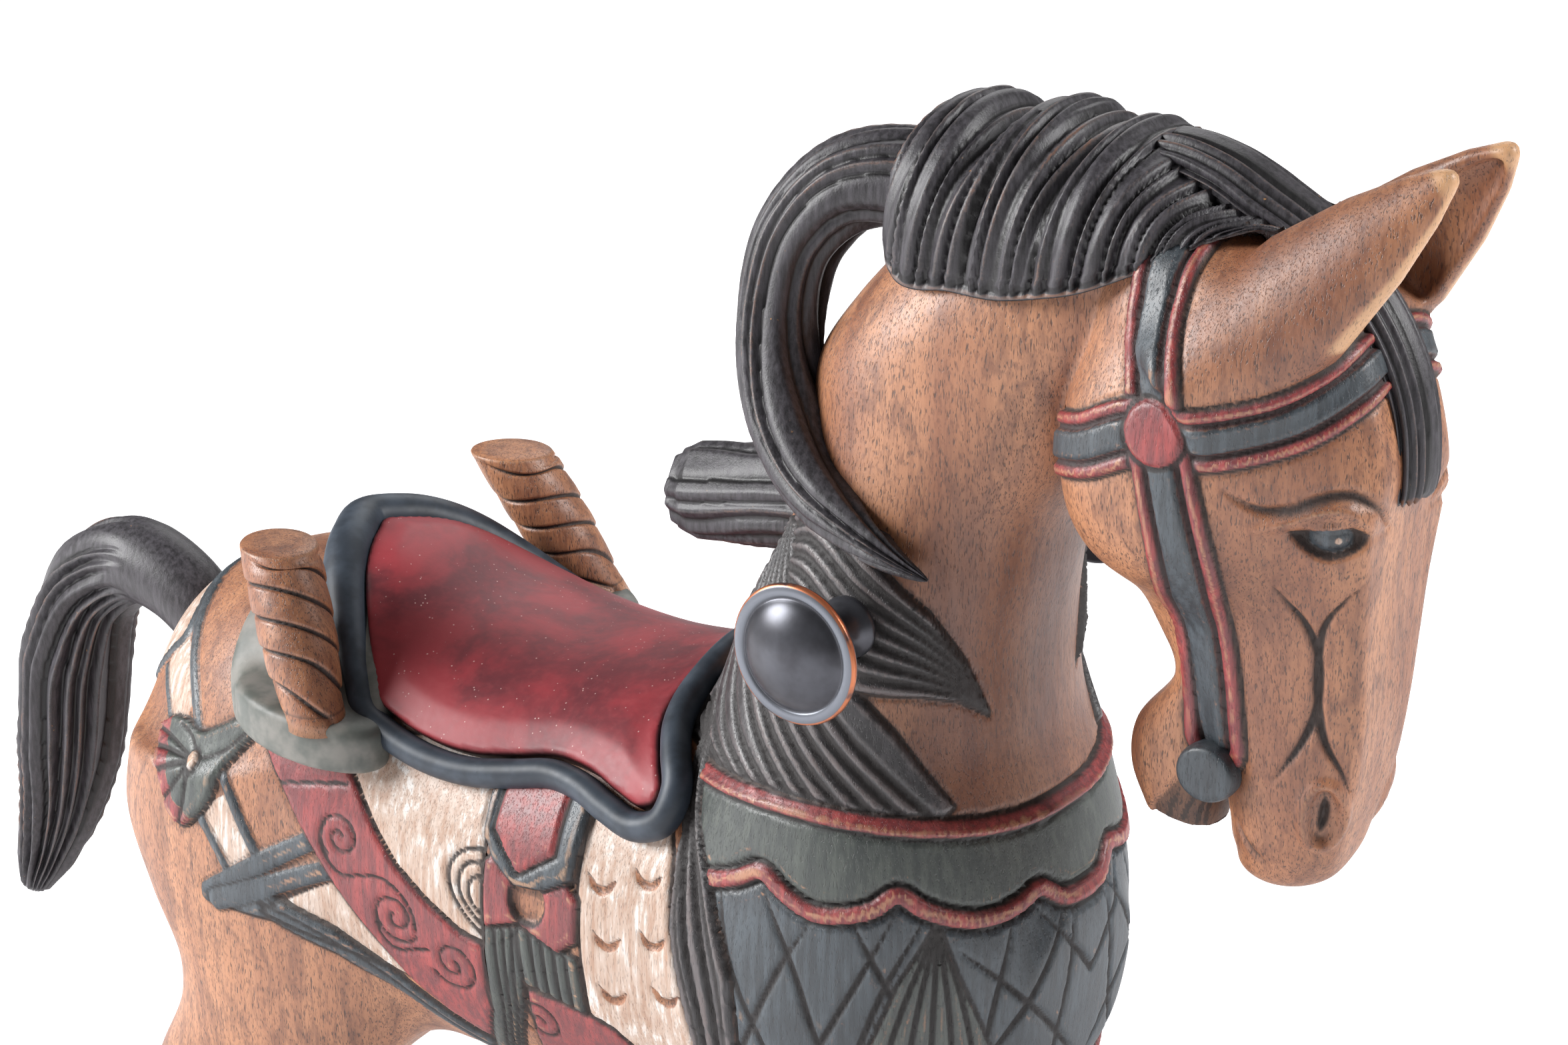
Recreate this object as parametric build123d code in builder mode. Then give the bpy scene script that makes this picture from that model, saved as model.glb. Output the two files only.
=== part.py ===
"""Carved and painted wooden carousel horse, a free-standing figure about 440 mm long and 437 mm high.

The figure is glued up from blocks with dowels, and then carved. +X is the way the horse faces and +Z is up.
The four hoof soles stand on Z = 0, and the origin is under the middle of the figure's box. Body, head,
saddle and legs are the same on both sides of Y = 0; one arched lock of the mane falls to the right (-Y).
Millimetres throughout.
"""

from build123d import *
from math import cos, radians, sin
import os

os.makedirs("parts", exist_ok=True)

# ---- driving dimensions -------------------------------------------------------------------------
SEAM_X = 0.0  # glue line between the rear and the front body block
SADDLE_JOINT_Z = 263.0  # the saddle block lies on the body here
SADDLE_REAR_X, SADDLE_FRONT_X = -86.0, 46.0
LEG_JOINT_Z = 172.0  # the legs are glued under the body on this level
NECK_JOINT_Z = 285.0  # the neck stands on the body here, under the top of the collar
HEAD_JOINT_X = 140.0  # the head is glued to the front of the neck here
CREST_START_X, CREST_START_Z, CREST_SLOPE = 97.0, 400.0, 0.27  # the crest lies on neck and head
CREST_UP = (-CREST_SLOPE, 0, 1)
CREST_JOINT = Plane(origin=(CREST_START_X, 0, CREST_START_Z), x_dir=(1, 0, CREST_SLOPE), z_dir=CREST_UP)
KNOB_X, KNOB_Z = 99.0, 323.0  # axis of the two metal knobs on the neck
KNOB_FOOT_Y = 40.0  # where a knob's foot meets the neck
KNOB_RADIUS, KNOB_FOOT_RADIUS, KNOB_HEIGHT = 16.0, 7.0, 26.0
BOLT_RADIUS, BOLT_IN_KNOB, BOLT_IN_NECK = 2.1, 12.0, 20.0
GLUE_GAP = 0.1  # round every dowel, tenon and bolt
SIDES = {"right": -1, "left": 1}

# Barrel, along X: (x, middle height, half height, half width)
BARREL = [(-147, 234, 11, 10), (-139, 235, 27, 23), (-125, 236, 42, 36), (-107, 236, 53, 46),
          (-85, 235, 60, 52), (-60, 234, 62, 54), (-28, 230, 61, 52), (12, 230, 61, 51),
          (52, 232, 62, 51), (87, 232, 58, 46)]
# Chest, up Z: (z, middle x, half length, half width)
CHEST = [(172, 86, 26, 34), (190, 86, 39, 44), (215, 87, 46, 50), (240, 89, 48, 52), (265, 90, 46, 52),
         (285, 90, 44, 50)]
# Neck, up Z
NECK = [(285, 90, 44, 50), (300, 92, 41, 45), (315, 94, 39, 41.5), (330, 97, 36, 39), (345, 99, 35, 33),
        (360, 101, 37, 30), (375, 105, 39, 29), (390, 113, 36, 26), (410, 120, 36, 22)]
# Head, from the chin up to the crown
HEAD = [(270, 188, 5, 5), (276, 189, 10, 10), (288, 190.5, 15, 14), (300, 191, 18, 15.5),
        (315, 188.5, 23.5, 17), (330, 186, 28, 20), (345, 182, 34, 24), (360, 177.5, 38, 28.5),
        (375, 174.5, 38, 30), (390, 172.5, 36, 28), (405, 171, 35, 25), (424, 168, 28, 20)]
# Lower jaw
JAW = [(350, 172, 12, 14), (325, 165, 10, 12), (308, 161, 9.5, 10.5), (293, 157.5, 9.5, 10),
       (280, 157.5, 8, 8.5), (272, 159.5, 5, 6)]
# Ear: (z, x, y, half length, half width)
EAR = [(392, 184, 26, 14, 6), (404, 188, 26.5, 15, 7), (416, 197, 22, 13, 6), (427, 208, 16, 9, 4.5),
       (435, 217, 13, 3.5, 2.5)]
# Legs, down from the haunch or shoulder: (z, x, y, half length, half width)
HIND_LEG = [(240, -88, 34, 27, 17), (205, -80, 37, 38, 18), (172, -78, 38, 36, 17),
            (150, -98, 37, 27, 14), (130, -116, 36, 20, 12), (110, -129, 35, 17, 11.5),
            (92, -131, 34, 12, 9.5), (70, -129, 34, 9, 8), (46, -127, 34, 8.5, 7.5),
            (28, -125, 34, 10.5, 9.5), (18, -120, 34, 10, 9.5), (12, -116, 34, 13.5, 12.5),
            (0, -112, 34, 17, 14.5)]
FORELEG = [(215, 88, 32, 26, 16), (190, 90, 32, 23, 15.5), (172, 92, 32, 19.5, 14),
           (150, 95, 31, 15.5, 12), (125, 98, 30, 12.5, 10.5), (98, 101, 30, 12.5, 11),
           (78, 100, 30, 9.5, 8.5), (50, 99, 30, 8.5, 7.5), (28, 99, 30, 10.5, 9.5),
           (18, 103, 30, 10, 9.5), (12, 106, 30, 13.5, 12.5), (0, 110, 30, 17, 14.5)]
# Mane crest, along X: (x, middle z, half height, half width)
CREST = [(76, 411, 8, 9), (82, 412, 18, 19), (98, 413, 23, 25), (118, 412, 23, 26), (140, 412, 25, 26),
         (160, 412, 20, 22), (180, 412, 16, 14), (196, 408, 9, 9)]
# Round strands, along their middle line: ((x, y, z), radius)
ARCH_LOCK = [((92, -3, 413), 12), ((74, -6, 412), 11.5), ((62, -10, 399), 10.5), ((61, -14, 381), 10.5),
             ((67, -20, 363), 10), ((80, -28, 350), 9.5), ((98, -34, 342), 7), ((116, -37, 337), 2)]
STUB_LOCK = [((68, 0, 336), 13), ((50, 0, 332), 12.5), ((33, 0, 329), 12), ((23, 0, 327), 10)]
TAIL = [((-136, 0, 252), 11), ((-150, 0, 263), 12), ((-167, 0, 267), 13.5), ((-184, 0, 257), 15),
        ((-195, 0, 236), 15.5), ((-200, 0, 210), 15.5), ((-205, 0, 187), 13), ((-212, 0, 168), 8),
        ((-218.7, 0, 153), 2)]
TAIL_SEAT_X, TAIL_SEAT_Z = -142.0, 256.0
TAIL_TENON_RADIUS, TAIL_TENON_LENGTH = 6.0, 20.0
# Saddle posts: foot and top on the left side
POST_FOOT, POST_TOP = Vector(-51, 54, 272), Vector(-67.5, 45, 305)
POST_FOOT_RADIUS, POST_MIDDLE_RADIUS, POST_TOP_RADIUS = 8.0, 9.8, 9.3
POST_SUNK = 5.0  # how far the post starts below the pad's top, before the pad is taken out of it
POST_TENON_RADIUS, POST_TENON_LENGTH = 5.0, 16.0
POST_LENGTH = (POST_TOP - POST_FOOT).length
POST_STATIONS = [(-POST_SUNK, POST_FOOT_RADIUS), (POST_LENGTH / 2, POST_MIDDLE_RADIUS),
                 (POST_LENGTH, POST_TOP_RADIUS)]


# ---- helpers ------------------------------------------------------------------------------------
def loft_along_x(sections):
    """A rounded body through upright ellipses."""
    with BuildPart() as made:
        for x, middle_z, half_height, half_width in sections:
            with BuildSketch(Plane(origin=(x, 0, middle_z), x_dir=(0, 1, 0), z_dir=(1, 0, 0))):
                Ellipse(half_width, half_height)
        loft(ruled=True)
    return made.part


def loft_up(sections):
    """A rounded body through level ellipses: (z, x, half length, half width) or (z, x, y, ...)."""
    with BuildPart() as made:
        for z, x, *y, half_length, half_width in sections:
            with BuildSketch(Plane(origin=(x, y[0] if y else 0, z))):
                Ellipse(half_length, half_width)
        loft(ruled=True)
    return made.part


def strand(stations):
    """A tapering round strand through ((x, y, z), radius) stations, square to its middle line."""
    points = [Vector(*centre) for centre, _ in stations]
    with BuildPart() as made:
        for index, (_, radius) in enumerate(stations):
            ahead = points[min(index + 1, len(points) - 1)]
            behind = points[max(index - 1, 0)]
            with BuildSketch(Plane(origin=points[index], x_dir=(0, 1, 0), z_dir=ahead - behind)):
                Circle(radius)
        loft(ruled=True)
    return made.part


def cut_at(solid, plane, keep):
    with BuildPart() as made:
        add(solid)
        split(bisect_by=plane, keep=keep)
    return made.part


def pegs(places, gap=0.0):
    """Pegs as separate solids, or with a gap the holes that they sit in: (centre, direction, radius, length)."""
    with BuildPart() as made:
        for centre, direction, radius, length in places:
            with BuildSketch(Plane(origin=centre, z_dir=direction)):
                Circle(radius + gap)
            extrude(amount=length / 2 + gap, both=True)
    return made.part


def mirrored(places):
    """The given places on the left side, and the same on the right."""
    return [((x, side * y, z), direction, radius, length)
            for (x, y, z), direction, radius, length in places for side in SIDES.values()]


def on_side(left, side):
    """A point or direction of the left side, on the given side."""
    return Vector(left.X, side * left.Y, left.Z)


def export(builder, name):
    builder.part.label = name
    export_step(builder.part, f"parts/{name}.step")


# ---- dowels, all glued in -----------------------------------------------------------------------
ALONG_X, ALONG_Z = (1, 0, 0), (0, 0, 1)
BODY_DOWEL, SADDLE_DOWEL, NECK_DOWEL = (5.0, 40.0), (3.0, 16.0), (6.0, 44.0)  # radius, length
HEAD_DOWEL, CREST_DOWEL, LEG_DOWEL = (4.0, 32.0), (3.0, 20.0), (4.0, 30.0)


def crest_height(x):
    return CREST_START_Z + CREST_SLOPE * (x - CREST_START_X)


DOWELS = {
    "body_joint_dowels": mirrored([((SEAM_X, 24, 205), ALONG_X, *BODY_DOWEL)])
    + [((SEAM_X, 0, 240), ALONG_X, *BODY_DOWEL)],
    "saddle_joint_dowels": mirrored([((x, 28, SADDLE_JOINT_Z), ALONG_Z, *SADDLE_DOWEL) for x in (-64, 30)]),
    "neck_joint_dowels": [((x, 0, NECK_JOINT_Z), ALONG_Z, *NECK_DOWEL) for x in (72, 106)],
    "head_joint_dowels": mirrored([((HEAD_JOINT_X, 11, 385), ALONG_X, *HEAD_DOWEL)]),
    "crest_joint_dowels": [((x, 0, crest_height(x)), CREST_UP, *CREST_DOWEL) for x in (108, 164)],
    "hindleg_joint_dowels": mirrored([((x, 38, LEG_JOINT_Z), ALONG_Z, *LEG_DOWEL) for x in (-92, -68)]),
    "foreleg_joint_dowels": mirrored([((x, 32, LEG_JOINT_Z), ALONG_Z, *LEG_DOWEL) for x in (86, 100)]),
}
bolts = mirrored([((KNOB_X, KNOB_FOOT_Y + (BOLT_IN_KNOB - BOLT_IN_NECK) / 2, KNOB_Z), (0, 1, 0), BOLT_RADIUS,
                   BOLT_IN_KNOB + BOLT_IN_NECK)])
SEAT_CUT_RADIUS, SEAT_CUT_LENGTH = KNOB_FOOT_RADIUS + 1.5, 20.0  # the flat that a knob's foot stands on
knob_seat_middle = (KNOB_X, KNOB_FOOT_Y + SEAT_CUT_LENGTH / 2, KNOB_Z)
knob_seats = mirrored([(knob_seat_middle, (0, 1, 0), SEAT_CUT_RADIUS, SEAT_CUT_LENGTH)])
tail_tenon = [((TAIL_SEAT_X, 0, TAIL_SEAT_Z), ALONG_X, TAIL_TENON_RADIUS, 2 * TAIL_TENON_LENGTH)]
post_rise = (POST_TOP - POST_FOOT).normalized()  # on the left side
post_tenon_middle = POST_FOOT - post_rise * (POST_TENON_LENGTH / 2 - 1)
post_tenons = [(tuple(on_side(post_tenon_middle, side)), tuple(on_side(post_rise, side)),
                POST_TENON_RADIUS, POST_TENON_LENGTH + 2) for side in SIDES.values()]
holes = {name: pegs(places, GLUE_GAP) for name, places in DOWELS.items()}
post_holes = pegs(post_tenons, GLUE_GAP)

# ---- shapes that more than one block is cut from ------------------------------------------------
barrel = loft_along_x(BARREL)
neck = loft_up(NECK)
seam = Plane.YZ.offset(SEAM_X)
leg_joint = Plane.XY.offset(LEG_JOINT_Z)
head_joint = Plane.YZ.offset(HEAD_JOINT_X)
with BuildPart() as saddle_space:
    with BuildSketch(Plane.XY.offset(SADDLE_JOINT_Z)):
        with Locations(((SADDLE_REAR_X + SADDLE_FRONT_X) / 2, 0)):
            Rectangle(SADDLE_FRONT_X - SADDLE_REAR_X, 160)
    extrude(amount=60)
hind_legs = {name: loft_up([(z, x, side * y, a, b) for z, x, y, a, b in HIND_LEG])
             for name, side in SIDES.items()}
forelegs = {name: loft_up([(z, x, side * y, a, b) for z, x, y, a, b in FORELEG])
            for name, side in SIDES.items()}
haunches = [cut_at(leg, leg_joint, Keep.TOP) for leg in hind_legs.values()]
shoulders = [cut_at(leg, leg_joint, Keep.TOP) for leg in forelegs.values()]
chest = loft_up(CHEST)

# ---- body ---------------------------------------------------------------------------------------
with BuildPart() as body_rear_block:
    add(barrel)
    add(saddle_space.part, mode=Mode.SUBTRACT)
    split(bisect_by=seam, keep=Keep.BOTTOM)
    for haunch in haunches:
        add(haunch)
    for name in ("body_joint_dowels", "saddle_joint_dowels", "hindleg_joint_dowels"):
        add(holes[name], mode=Mode.SUBTRACT)
    add(post_holes, mode=Mode.SUBTRACT)
    add(pegs(tail_tenon, GLUE_GAP), mode=Mode.SUBTRACT)

with BuildPart() as body_front_block:
    add(barrel)
    split(bisect_by=seam, keep=Keep.TOP)
    add(chest)
    add(saddle_space.part, mode=Mode.SUBTRACT)
    split(bisect_by=Plane.XY.offset(NECK_JOINT_Z), keep=Keep.BOTTOM)
    for shoulder in shoulders:
        add(shoulder)
    for name in ("body_joint_dowels", "saddle_joint_dowels", "neck_joint_dowels", "foreleg_joint_dowels"):
        add(holes[name], mode=Mode.SUBTRACT)

with BuildPart() as neck_block:
    add(neck)
    split(bisect_by=head_joint, keep=Keep.BOTTOM)
    split(bisect_by=CREST_JOINT, keep=Keep.BOTTOM)
    for name in ("neck_joint_dowels", "head_joint_dowels", "crest_joint_dowels"):
        add(holes[name], mode=Mode.SUBTRACT)
    add(pegs(knob_seats), mode=Mode.SUBTRACT)
    add(pegs(bolts, GLUE_GAP), mode=Mode.SUBTRACT)

# ---- saddle, with the two side pads that the posts stand on --------------------------------------
PAD_X, PAD_Y, PAD_LENGTH, PAD_WIDTH, PAD_HEIGHT = -53.0, 51.0, 27.0, 14.0, 10.0  # half length and half width
with BuildPart() as saddle:
    add(barrel)
    add(saddle_space.part, mode=Mode.INTERSECT)
    with BuildSketch(Plane.XY.offset(SADDLE_JOINT_Z)):
        with Locations((PAD_X, PAD_Y), (PAD_X, -PAD_Y)):
            Ellipse(PAD_LENGTH, PAD_WIDTH)
    extrude(amount=PAD_HEIGHT)
    add(holes["saddle_joint_dowels"], mode=Mode.SUBTRACT)
    add(post_holes, mode=Mode.SUBTRACT)

# ---- head, with the ears and the open lower jaw --------------------------------------------------
with BuildPart() as head_block:
    add(loft_up(HEAD))
    split(bisect_by=head_joint, keep=Keep.TOP)
    split(bisect_by=CREST_JOINT, keep=Keep.BOTTOM)
    add(loft_up(JAW))
    for side in SIDES.values():
        add(loft_up([(z, x, side * y, a, b) for z, x, y, a, b in EAR]))
    for name in ("head_joint_dowels", "crest_joint_dowels"):
        add(holes[name], mode=Mode.SUBTRACT)

# ---- mane ---------------------------------------------------------------------------------------
with BuildPart() as mane_crest:
    add(loft_along_x(CREST))
    split(bisect_by=CREST_JOINT, keep=Keep.TOP)
    add(head_block.part, mode=Mode.SUBTRACT)
    add(holes["crest_joint_dowels"], mode=Mode.SUBTRACT)

with BuildPart() as mane_arch_lock:
    add(strand(ARCH_LOCK))
    add(neck, mode=Mode.SUBTRACT)
    add(mane_crest.part, mode=Mode.SUBTRACT)

with BuildPart() as mane_stub_lock:
    add(strand(STUB_LOCK))
    add(neck, mode=Mode.SUBTRACT)
    add(mane_arch_lock.part, mode=Mode.SUBTRACT)

# ---- tail ---------------------------------------------------------------------------------------
with BuildPart() as tail:
    add(strand(TAIL))
    add(body_rear_block.part, mode=Mode.SUBTRACT)
    add(pegs(tail_tenon))

# ---- legs, each glued under its haunch or shoulder -----------------------------------------------
legs = {}
for side_name in SIDES:
    for leg_name, whole, joint in (("hindleg", hind_legs[side_name], "hindleg_joint_dowels"),
                                   ("foreleg", forelegs[side_name], "foreleg_joint_dowels")):
        with BuildPart() as leg:
            add(whole)
            split(bisect_by=leg_joint, keep=Keep.BOTTOM)
            add(holes[joint], mode=Mode.SUBTRACT)
        legs[f"{leg_name}_{side_name}"] = leg

# ---- saddle posts, one on each side pad ------------------------------------------------------------
posts = {}
for side_name, side in SIDES.items():
    foot, rise = on_side(POST_FOOT, side), on_side(post_rise, side)
    with BuildPart() as post:
        for along, radius in POST_STATIONS:
            with BuildSketch(Plane(origin=foot + rise * along, z_dir=rise)):
                Circle(radius)
        loft(ruled=True)
        add(saddle.part, mode=Mode.SUBTRACT)
        with BuildSketch(Plane(origin=foot, z_dir=-rise)):
            Circle(POST_TENON_RADIUS)
        extrude(amount=POST_TENON_LENGTH)
    posts[f"saddle_post_{side_name}"] = post

# ---- metal knobs and the bolts that hold them -------------------------------------------------------
DOME_RADIUS, DOME_ANGLE = 26.0, radians(30.5)
DOME_EDGE_HEIGHT = KNOB_HEIGHT - DOME_RADIUS * (1 - cos(DOME_ANGLE))
DOME_SIDE = (DOME_RADIUS * sin(DOME_ANGLE / 2), KNOB_HEIGHT - DOME_RADIUS * (1 - cos(DOME_ANGLE / 2)))
knobs = {}
for side_name, side in SIDES.items():
    with BuildPart() as knob:
        knob_foot = (KNOB_X, side * KNOB_FOOT_Y, KNOB_Z)
        with BuildSketch(Plane(origin=knob_foot, x_dir=(1, 0, 0), z_dir=(0, 0, side))):
            with BuildLine():
                Line((0, 0), (KNOB_FOOT_RADIUS, 0))
                Line((KNOB_FOOT_RADIUS, 0), (KNOB_FOOT_RADIUS, 1.6))
                Spline((KNOB_FOOT_RADIUS, 1.6), (4.8, 6.5), (5.4, 12.0), (12.5, 18.4), (KNOB_RADIUS, 20.2))
                Line((KNOB_RADIUS, 20.2), (KNOB_RADIUS, 21.6))
                Line((KNOB_RADIUS, 21.6), (DOME_RADIUS * sin(DOME_ANGLE), DOME_EDGE_HEIGHT))
                ThreePointArc((DOME_RADIUS * sin(DOME_ANGLE), DOME_EDGE_HEIGHT), DOME_SIDE, (0, KNOB_HEIGHT))
                Line((0, KNOB_HEIGHT), (0, 0))
            make_face()
        revolve(axis=Axis((KNOB_X, 0, KNOB_Z), (0, 1, 0)))
        add(pegs(bolts), mode=Mode.SUBTRACT)
    knobs[f"neck_knob_{side_name}"] = knob
with BuildPart() as knob_hanger_bolts:
    add(pegs(bolts))

blocks = {"body_rear_block": body_rear_block, "body_front_block": body_front_block, "neck_block": neck_block,
          "head_block": head_block, "saddle": saddle, "mane_crest": mane_crest, "mane_arch_lock": mane_arch_lock,
          "mane_stub_lock": mane_stub_lock, "tail": tail, **legs, **posts, **knobs,
          "knob_hanger_bolts": knob_hanger_bolts}
for name, builder in blocks.items():
    export(builder, name)
for name, places in DOWELS.items():
    with BuildPart() as dowels:
        add(pegs(places))
    export(dowels, name)
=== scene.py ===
"""Looks of the carved wooden carousel horse: carved surfaces, paint, hair and light round the CAD frame.

Lengths are in millimetres until a mesh is made, in the CAD's own frame: the horse faces +X, up is +Z, and
every ornament is the same on both sides of Y = 0. Carving moves a fine surface along its normals, and each
paint is a signed distance stored on the points (millimetres, negative inside), which the materials read.
"""
from math import cos, pi, radians, sin
import bpy, bmesh, openvdb
import numpy as np
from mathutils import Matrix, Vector


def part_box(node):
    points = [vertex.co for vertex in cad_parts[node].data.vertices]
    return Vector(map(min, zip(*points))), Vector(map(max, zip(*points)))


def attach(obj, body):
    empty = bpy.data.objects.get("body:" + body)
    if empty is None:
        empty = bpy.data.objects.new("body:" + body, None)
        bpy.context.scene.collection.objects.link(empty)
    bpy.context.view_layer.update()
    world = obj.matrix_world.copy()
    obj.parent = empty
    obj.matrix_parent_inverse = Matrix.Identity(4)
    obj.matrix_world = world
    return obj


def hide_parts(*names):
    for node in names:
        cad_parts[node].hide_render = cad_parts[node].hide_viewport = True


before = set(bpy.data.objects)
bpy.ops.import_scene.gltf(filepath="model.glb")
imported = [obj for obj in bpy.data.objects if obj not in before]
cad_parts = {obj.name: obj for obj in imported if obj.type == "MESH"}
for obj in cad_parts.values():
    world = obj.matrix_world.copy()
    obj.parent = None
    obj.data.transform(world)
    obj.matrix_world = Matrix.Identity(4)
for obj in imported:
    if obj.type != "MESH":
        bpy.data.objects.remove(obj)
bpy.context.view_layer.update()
MM = 0.001


def box_mm(node):
    """The low and high corners of a CAD node's box, mm."""
    low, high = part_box(node)
    return np.array(low) / MM, np.array(high) / MM


SEAM_X = box_mm("body_front_block")[0][0]
LEG_JOINT_Z = box_mm("foreleg_right")[1][2]
NECK_JOINT_Z = box_mm("neck_block")[0][2]
HEAD_JOINT_X = box_mm("head_block")[0][0]
SADDLE_LOW, SADDLE_HIGH = box_mm("saddle")


# ---- small maths ---------------------------------------------------------------------------------
def smooth_curve(keys, values):
    """A smooth function through the values at the keys."""
    keys, values = np.asarray(keys, float), np.asarray(values, float)
    slope = np.gradient(values, keys)
    dense = np.linspace(keys[0], keys[-1], 400)
    i = np.clip(np.searchsorted(keys, dense) - 1, 0, len(keys) - 2)
    gap = keys[i + 1] - keys[i]
    t = (dense - keys[i]) / gap
    out = ((2 * t**3 - 3 * t**2 + 1) * values[i] + (t**3 - 2 * t**2 + t) * gap * slope[i]
           + (-2 * t**3 + 3 * t**2) * values[i + 1] + (t**3 - t**2) * gap * slope[i + 1])
    return lambda key: np.interp(key, dense, out)


def smin(a, b, k):
    """The lower of two values, rounded over k where they meet."""
    h = np.clip(0.5 + 0.5 * (b - a) / k, 0, 1)
    return b + (a - b) * h - k * h * (1 - h)


def smax(a, b, k):
    """The higher of two values, rounded the same way."""
    return -smin(-a, -b, k)


def step(value, low, high):
    """0 below low and 1 above high, smoothly; the other way round if low is above high."""
    t = np.clip((value - low) / (high - low), 0, 1)
    return t * t * (3 - 2 * t)


def spline(points, count=None):
    """Many points on a smooth curve through a few points of any dimension."""
    points = np.asarray(points, float)
    if len(points) < 3:
        t = np.linspace(0, 1, count or 6)[:, None]
        return points[0] * (1 - t) + points[-1] * t
    along = np.concatenate([[0], np.cumsum(np.linalg.norm(np.diff(points, axis=0), axis=1))])
    count = count or int(np.clip(along[-1] / 2.0, 12, 90))
    t = np.linspace(0, along[-1], count)
    return np.stack([smooth_curve(along, column)(t) for column in points.T], axis=1)


FAR = 13.0  # paint distances stop here


def path_distance(points, path, ends=0.0, reach=FAR):
    """Distance of each point to an open path, up to reach; ends is added to it at the path's two ends."""
    out = np.full(len(points), reach)
    near = np.all((points > path.min(0) - reach) & (points < path.max(0) + reach), axis=1).nonzero()[0]
    if len(near) == 0:
        return out
    p = points[near]
    best = np.full(len(p), reach)
    last = len(path) - 1
    for k in range(last):
        ab = path[k + 1] - path[k]
        t = np.clip(((p - path[k]) @ ab) / max(ab @ ab, 1e-9), 0, 1)
        d = p - path[k] - t[:, None] * ab
        d = np.sqrt(np.einsum("ij,ij->i", d, d))
        if ends:
            share = (k + t) / last
            d += ends * np.clip(1 - np.minimum(share, 1 - share) / 0.35, 0, 1) ** 1.5
        np.minimum(best, d, out=best)
    out[near] = best
    return out


def area(points, corners, curved=False):
    """Signed distance to the edge of a closed flat area, negative inside."""
    loop = np.asarray(corners, float)
    if curved:
        loop = spline(np.vstack([loop, loop[:1]]), 8 * len(loop))
    else:
        loop = np.vstack([loop, loop[:1]])
    distance = path_distance(points, loop)
    inside = np.zeros(len(points), bool)
    near = np.all((points > loop.min(0)) & (points < loop.max(0)), axis=1).nonzero()[0]
    px, py = points[near].T
    for (ax, ay), (bx, by) in zip(loop[:-1], loop[1:]):
        if ay != by:
            crossing = ((ay > py) != (by > py)) & (px < (bx - ax) * (py - ay) / (by - ay) + ax)
            inside[near[crossing]] ^= True
    return np.where(inside, -distance, distance)


# ---- body shape as distance fields ---------------------------------------------------------------
class Tube:
    """Rounded sections along one axis: (place, middle, reach below, reach above, half width, roundness)."""

    def __init__(self, rows):
        columns = np.array(sorted(rows)).T
        self.first, self.last = columns[0][0], columns[0][-1]
        self.middle, self.below, self.above, self.width, self.power = (
            smooth_curve(columns[0], c) for c in columns[1:6])

    def __call__(self, place, across, y):
        offset = across - self.middle(place)
        half_width = np.maximum(self.width(place), 0.3)
        half_height = np.maximum(np.where(offset > 0, self.above(place), self.below(place)), 0.3)
        n = self.power(place)
        u, v = np.abs(offset) / half_height, np.abs(y) / half_width
        q = (u**n + v**n) ** (1 / n)
        base = np.maximum(q, 1e-6)
        steep = np.hypot((u / base) ** (n - 1) / half_height, (v / base) ** (n - 1) / half_width) + 1e-9
        ends = np.maximum(self.first - place, place - self.last)
        return smax(np.clip((q - 1) / steep, -40, 40), ends, 3.0)


def blob(P, middle, radii, n, across):
    """A squarish ball: n is its squareness in side view, across its squareness over Y."""
    q = np.abs(P - np.asarray(middle, float)) / np.asarray(radii, float)
    flat = (q[:, 0] ** n + q[:, 2] ** n) ** (across / n)
    return ((flat + q[:, 1] ** across) ** (1 / across) - 1) * min(radii)


def right_side(P):
    """The points with those of the left side mirrored to the right."""
    return np.stack([P[:, 0], -np.abs(P[:, 1]), P[:, 2]], axis=1)


BARREL = Tube([  # along X
    (-147, 234, 3, 3, 3, 2), (-144.5, 234, 14, 14, 12, 2), (-139, 235, 27, 26, 23, 2),
    (-125, 236, 42, 41, 36, 2.1), (-107, 236, 54, 50, 46, 2.1), (-85, 235, 61, 55, 52, 2.2),
    (-60, 234, 63, 52, 54, 2.2), (-30, 231, 62, 49, 53, 2.2), (0, 230, 61, 48, 52, 2.2),
    (30, 231, 61, 50, 51, 2.2), (60, 232, 60, 52, 50, 2.1), (90, 232, 54, 48, 46, 2),
    (115, 230, 38, 38, 34, 2), (130, 230, 14, 14, 16, 2)])
CHEST = Tube([  # up Z, chest and neck
    (167, 88, 16, 14, 16, 2), (175, 88, 30, 27, 33, 2), (190, 88, 38, 38, 42, 2.1),
    (205, 88, 42, 44, 47, 2.2), (225, 88, 44, 48, 50.5, 2.2), (245, 89, 45, 48.5, 52, 2.2),
    (262, 90, 45, 43.5, 51.5, 2.2), (278, 90, 45, 38.5, 49, 2.2), (290, 90, 44, 35.5, 45.5, 2.1),
    (300, 91, 42, 33.5, 42.5, 2.1), (315, 93, 39, 31.5, 39.5, 2.1), (330, 96, 35, 31, 36, 2.1),
    (345, 99, 33, 31, 32.5, 2.1), (360, 101, 34, 38, 30.5, 2.1), (375, 105, 36, 42, 29.5, 2.1),
    (388, 112, 34, 45, 28, 2.1), (400, 120, 32, 45, 25, 2), (412, 130, 34, 40, 19, 2),
    (419, 136, 22, 24, 8, 2)])
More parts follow.
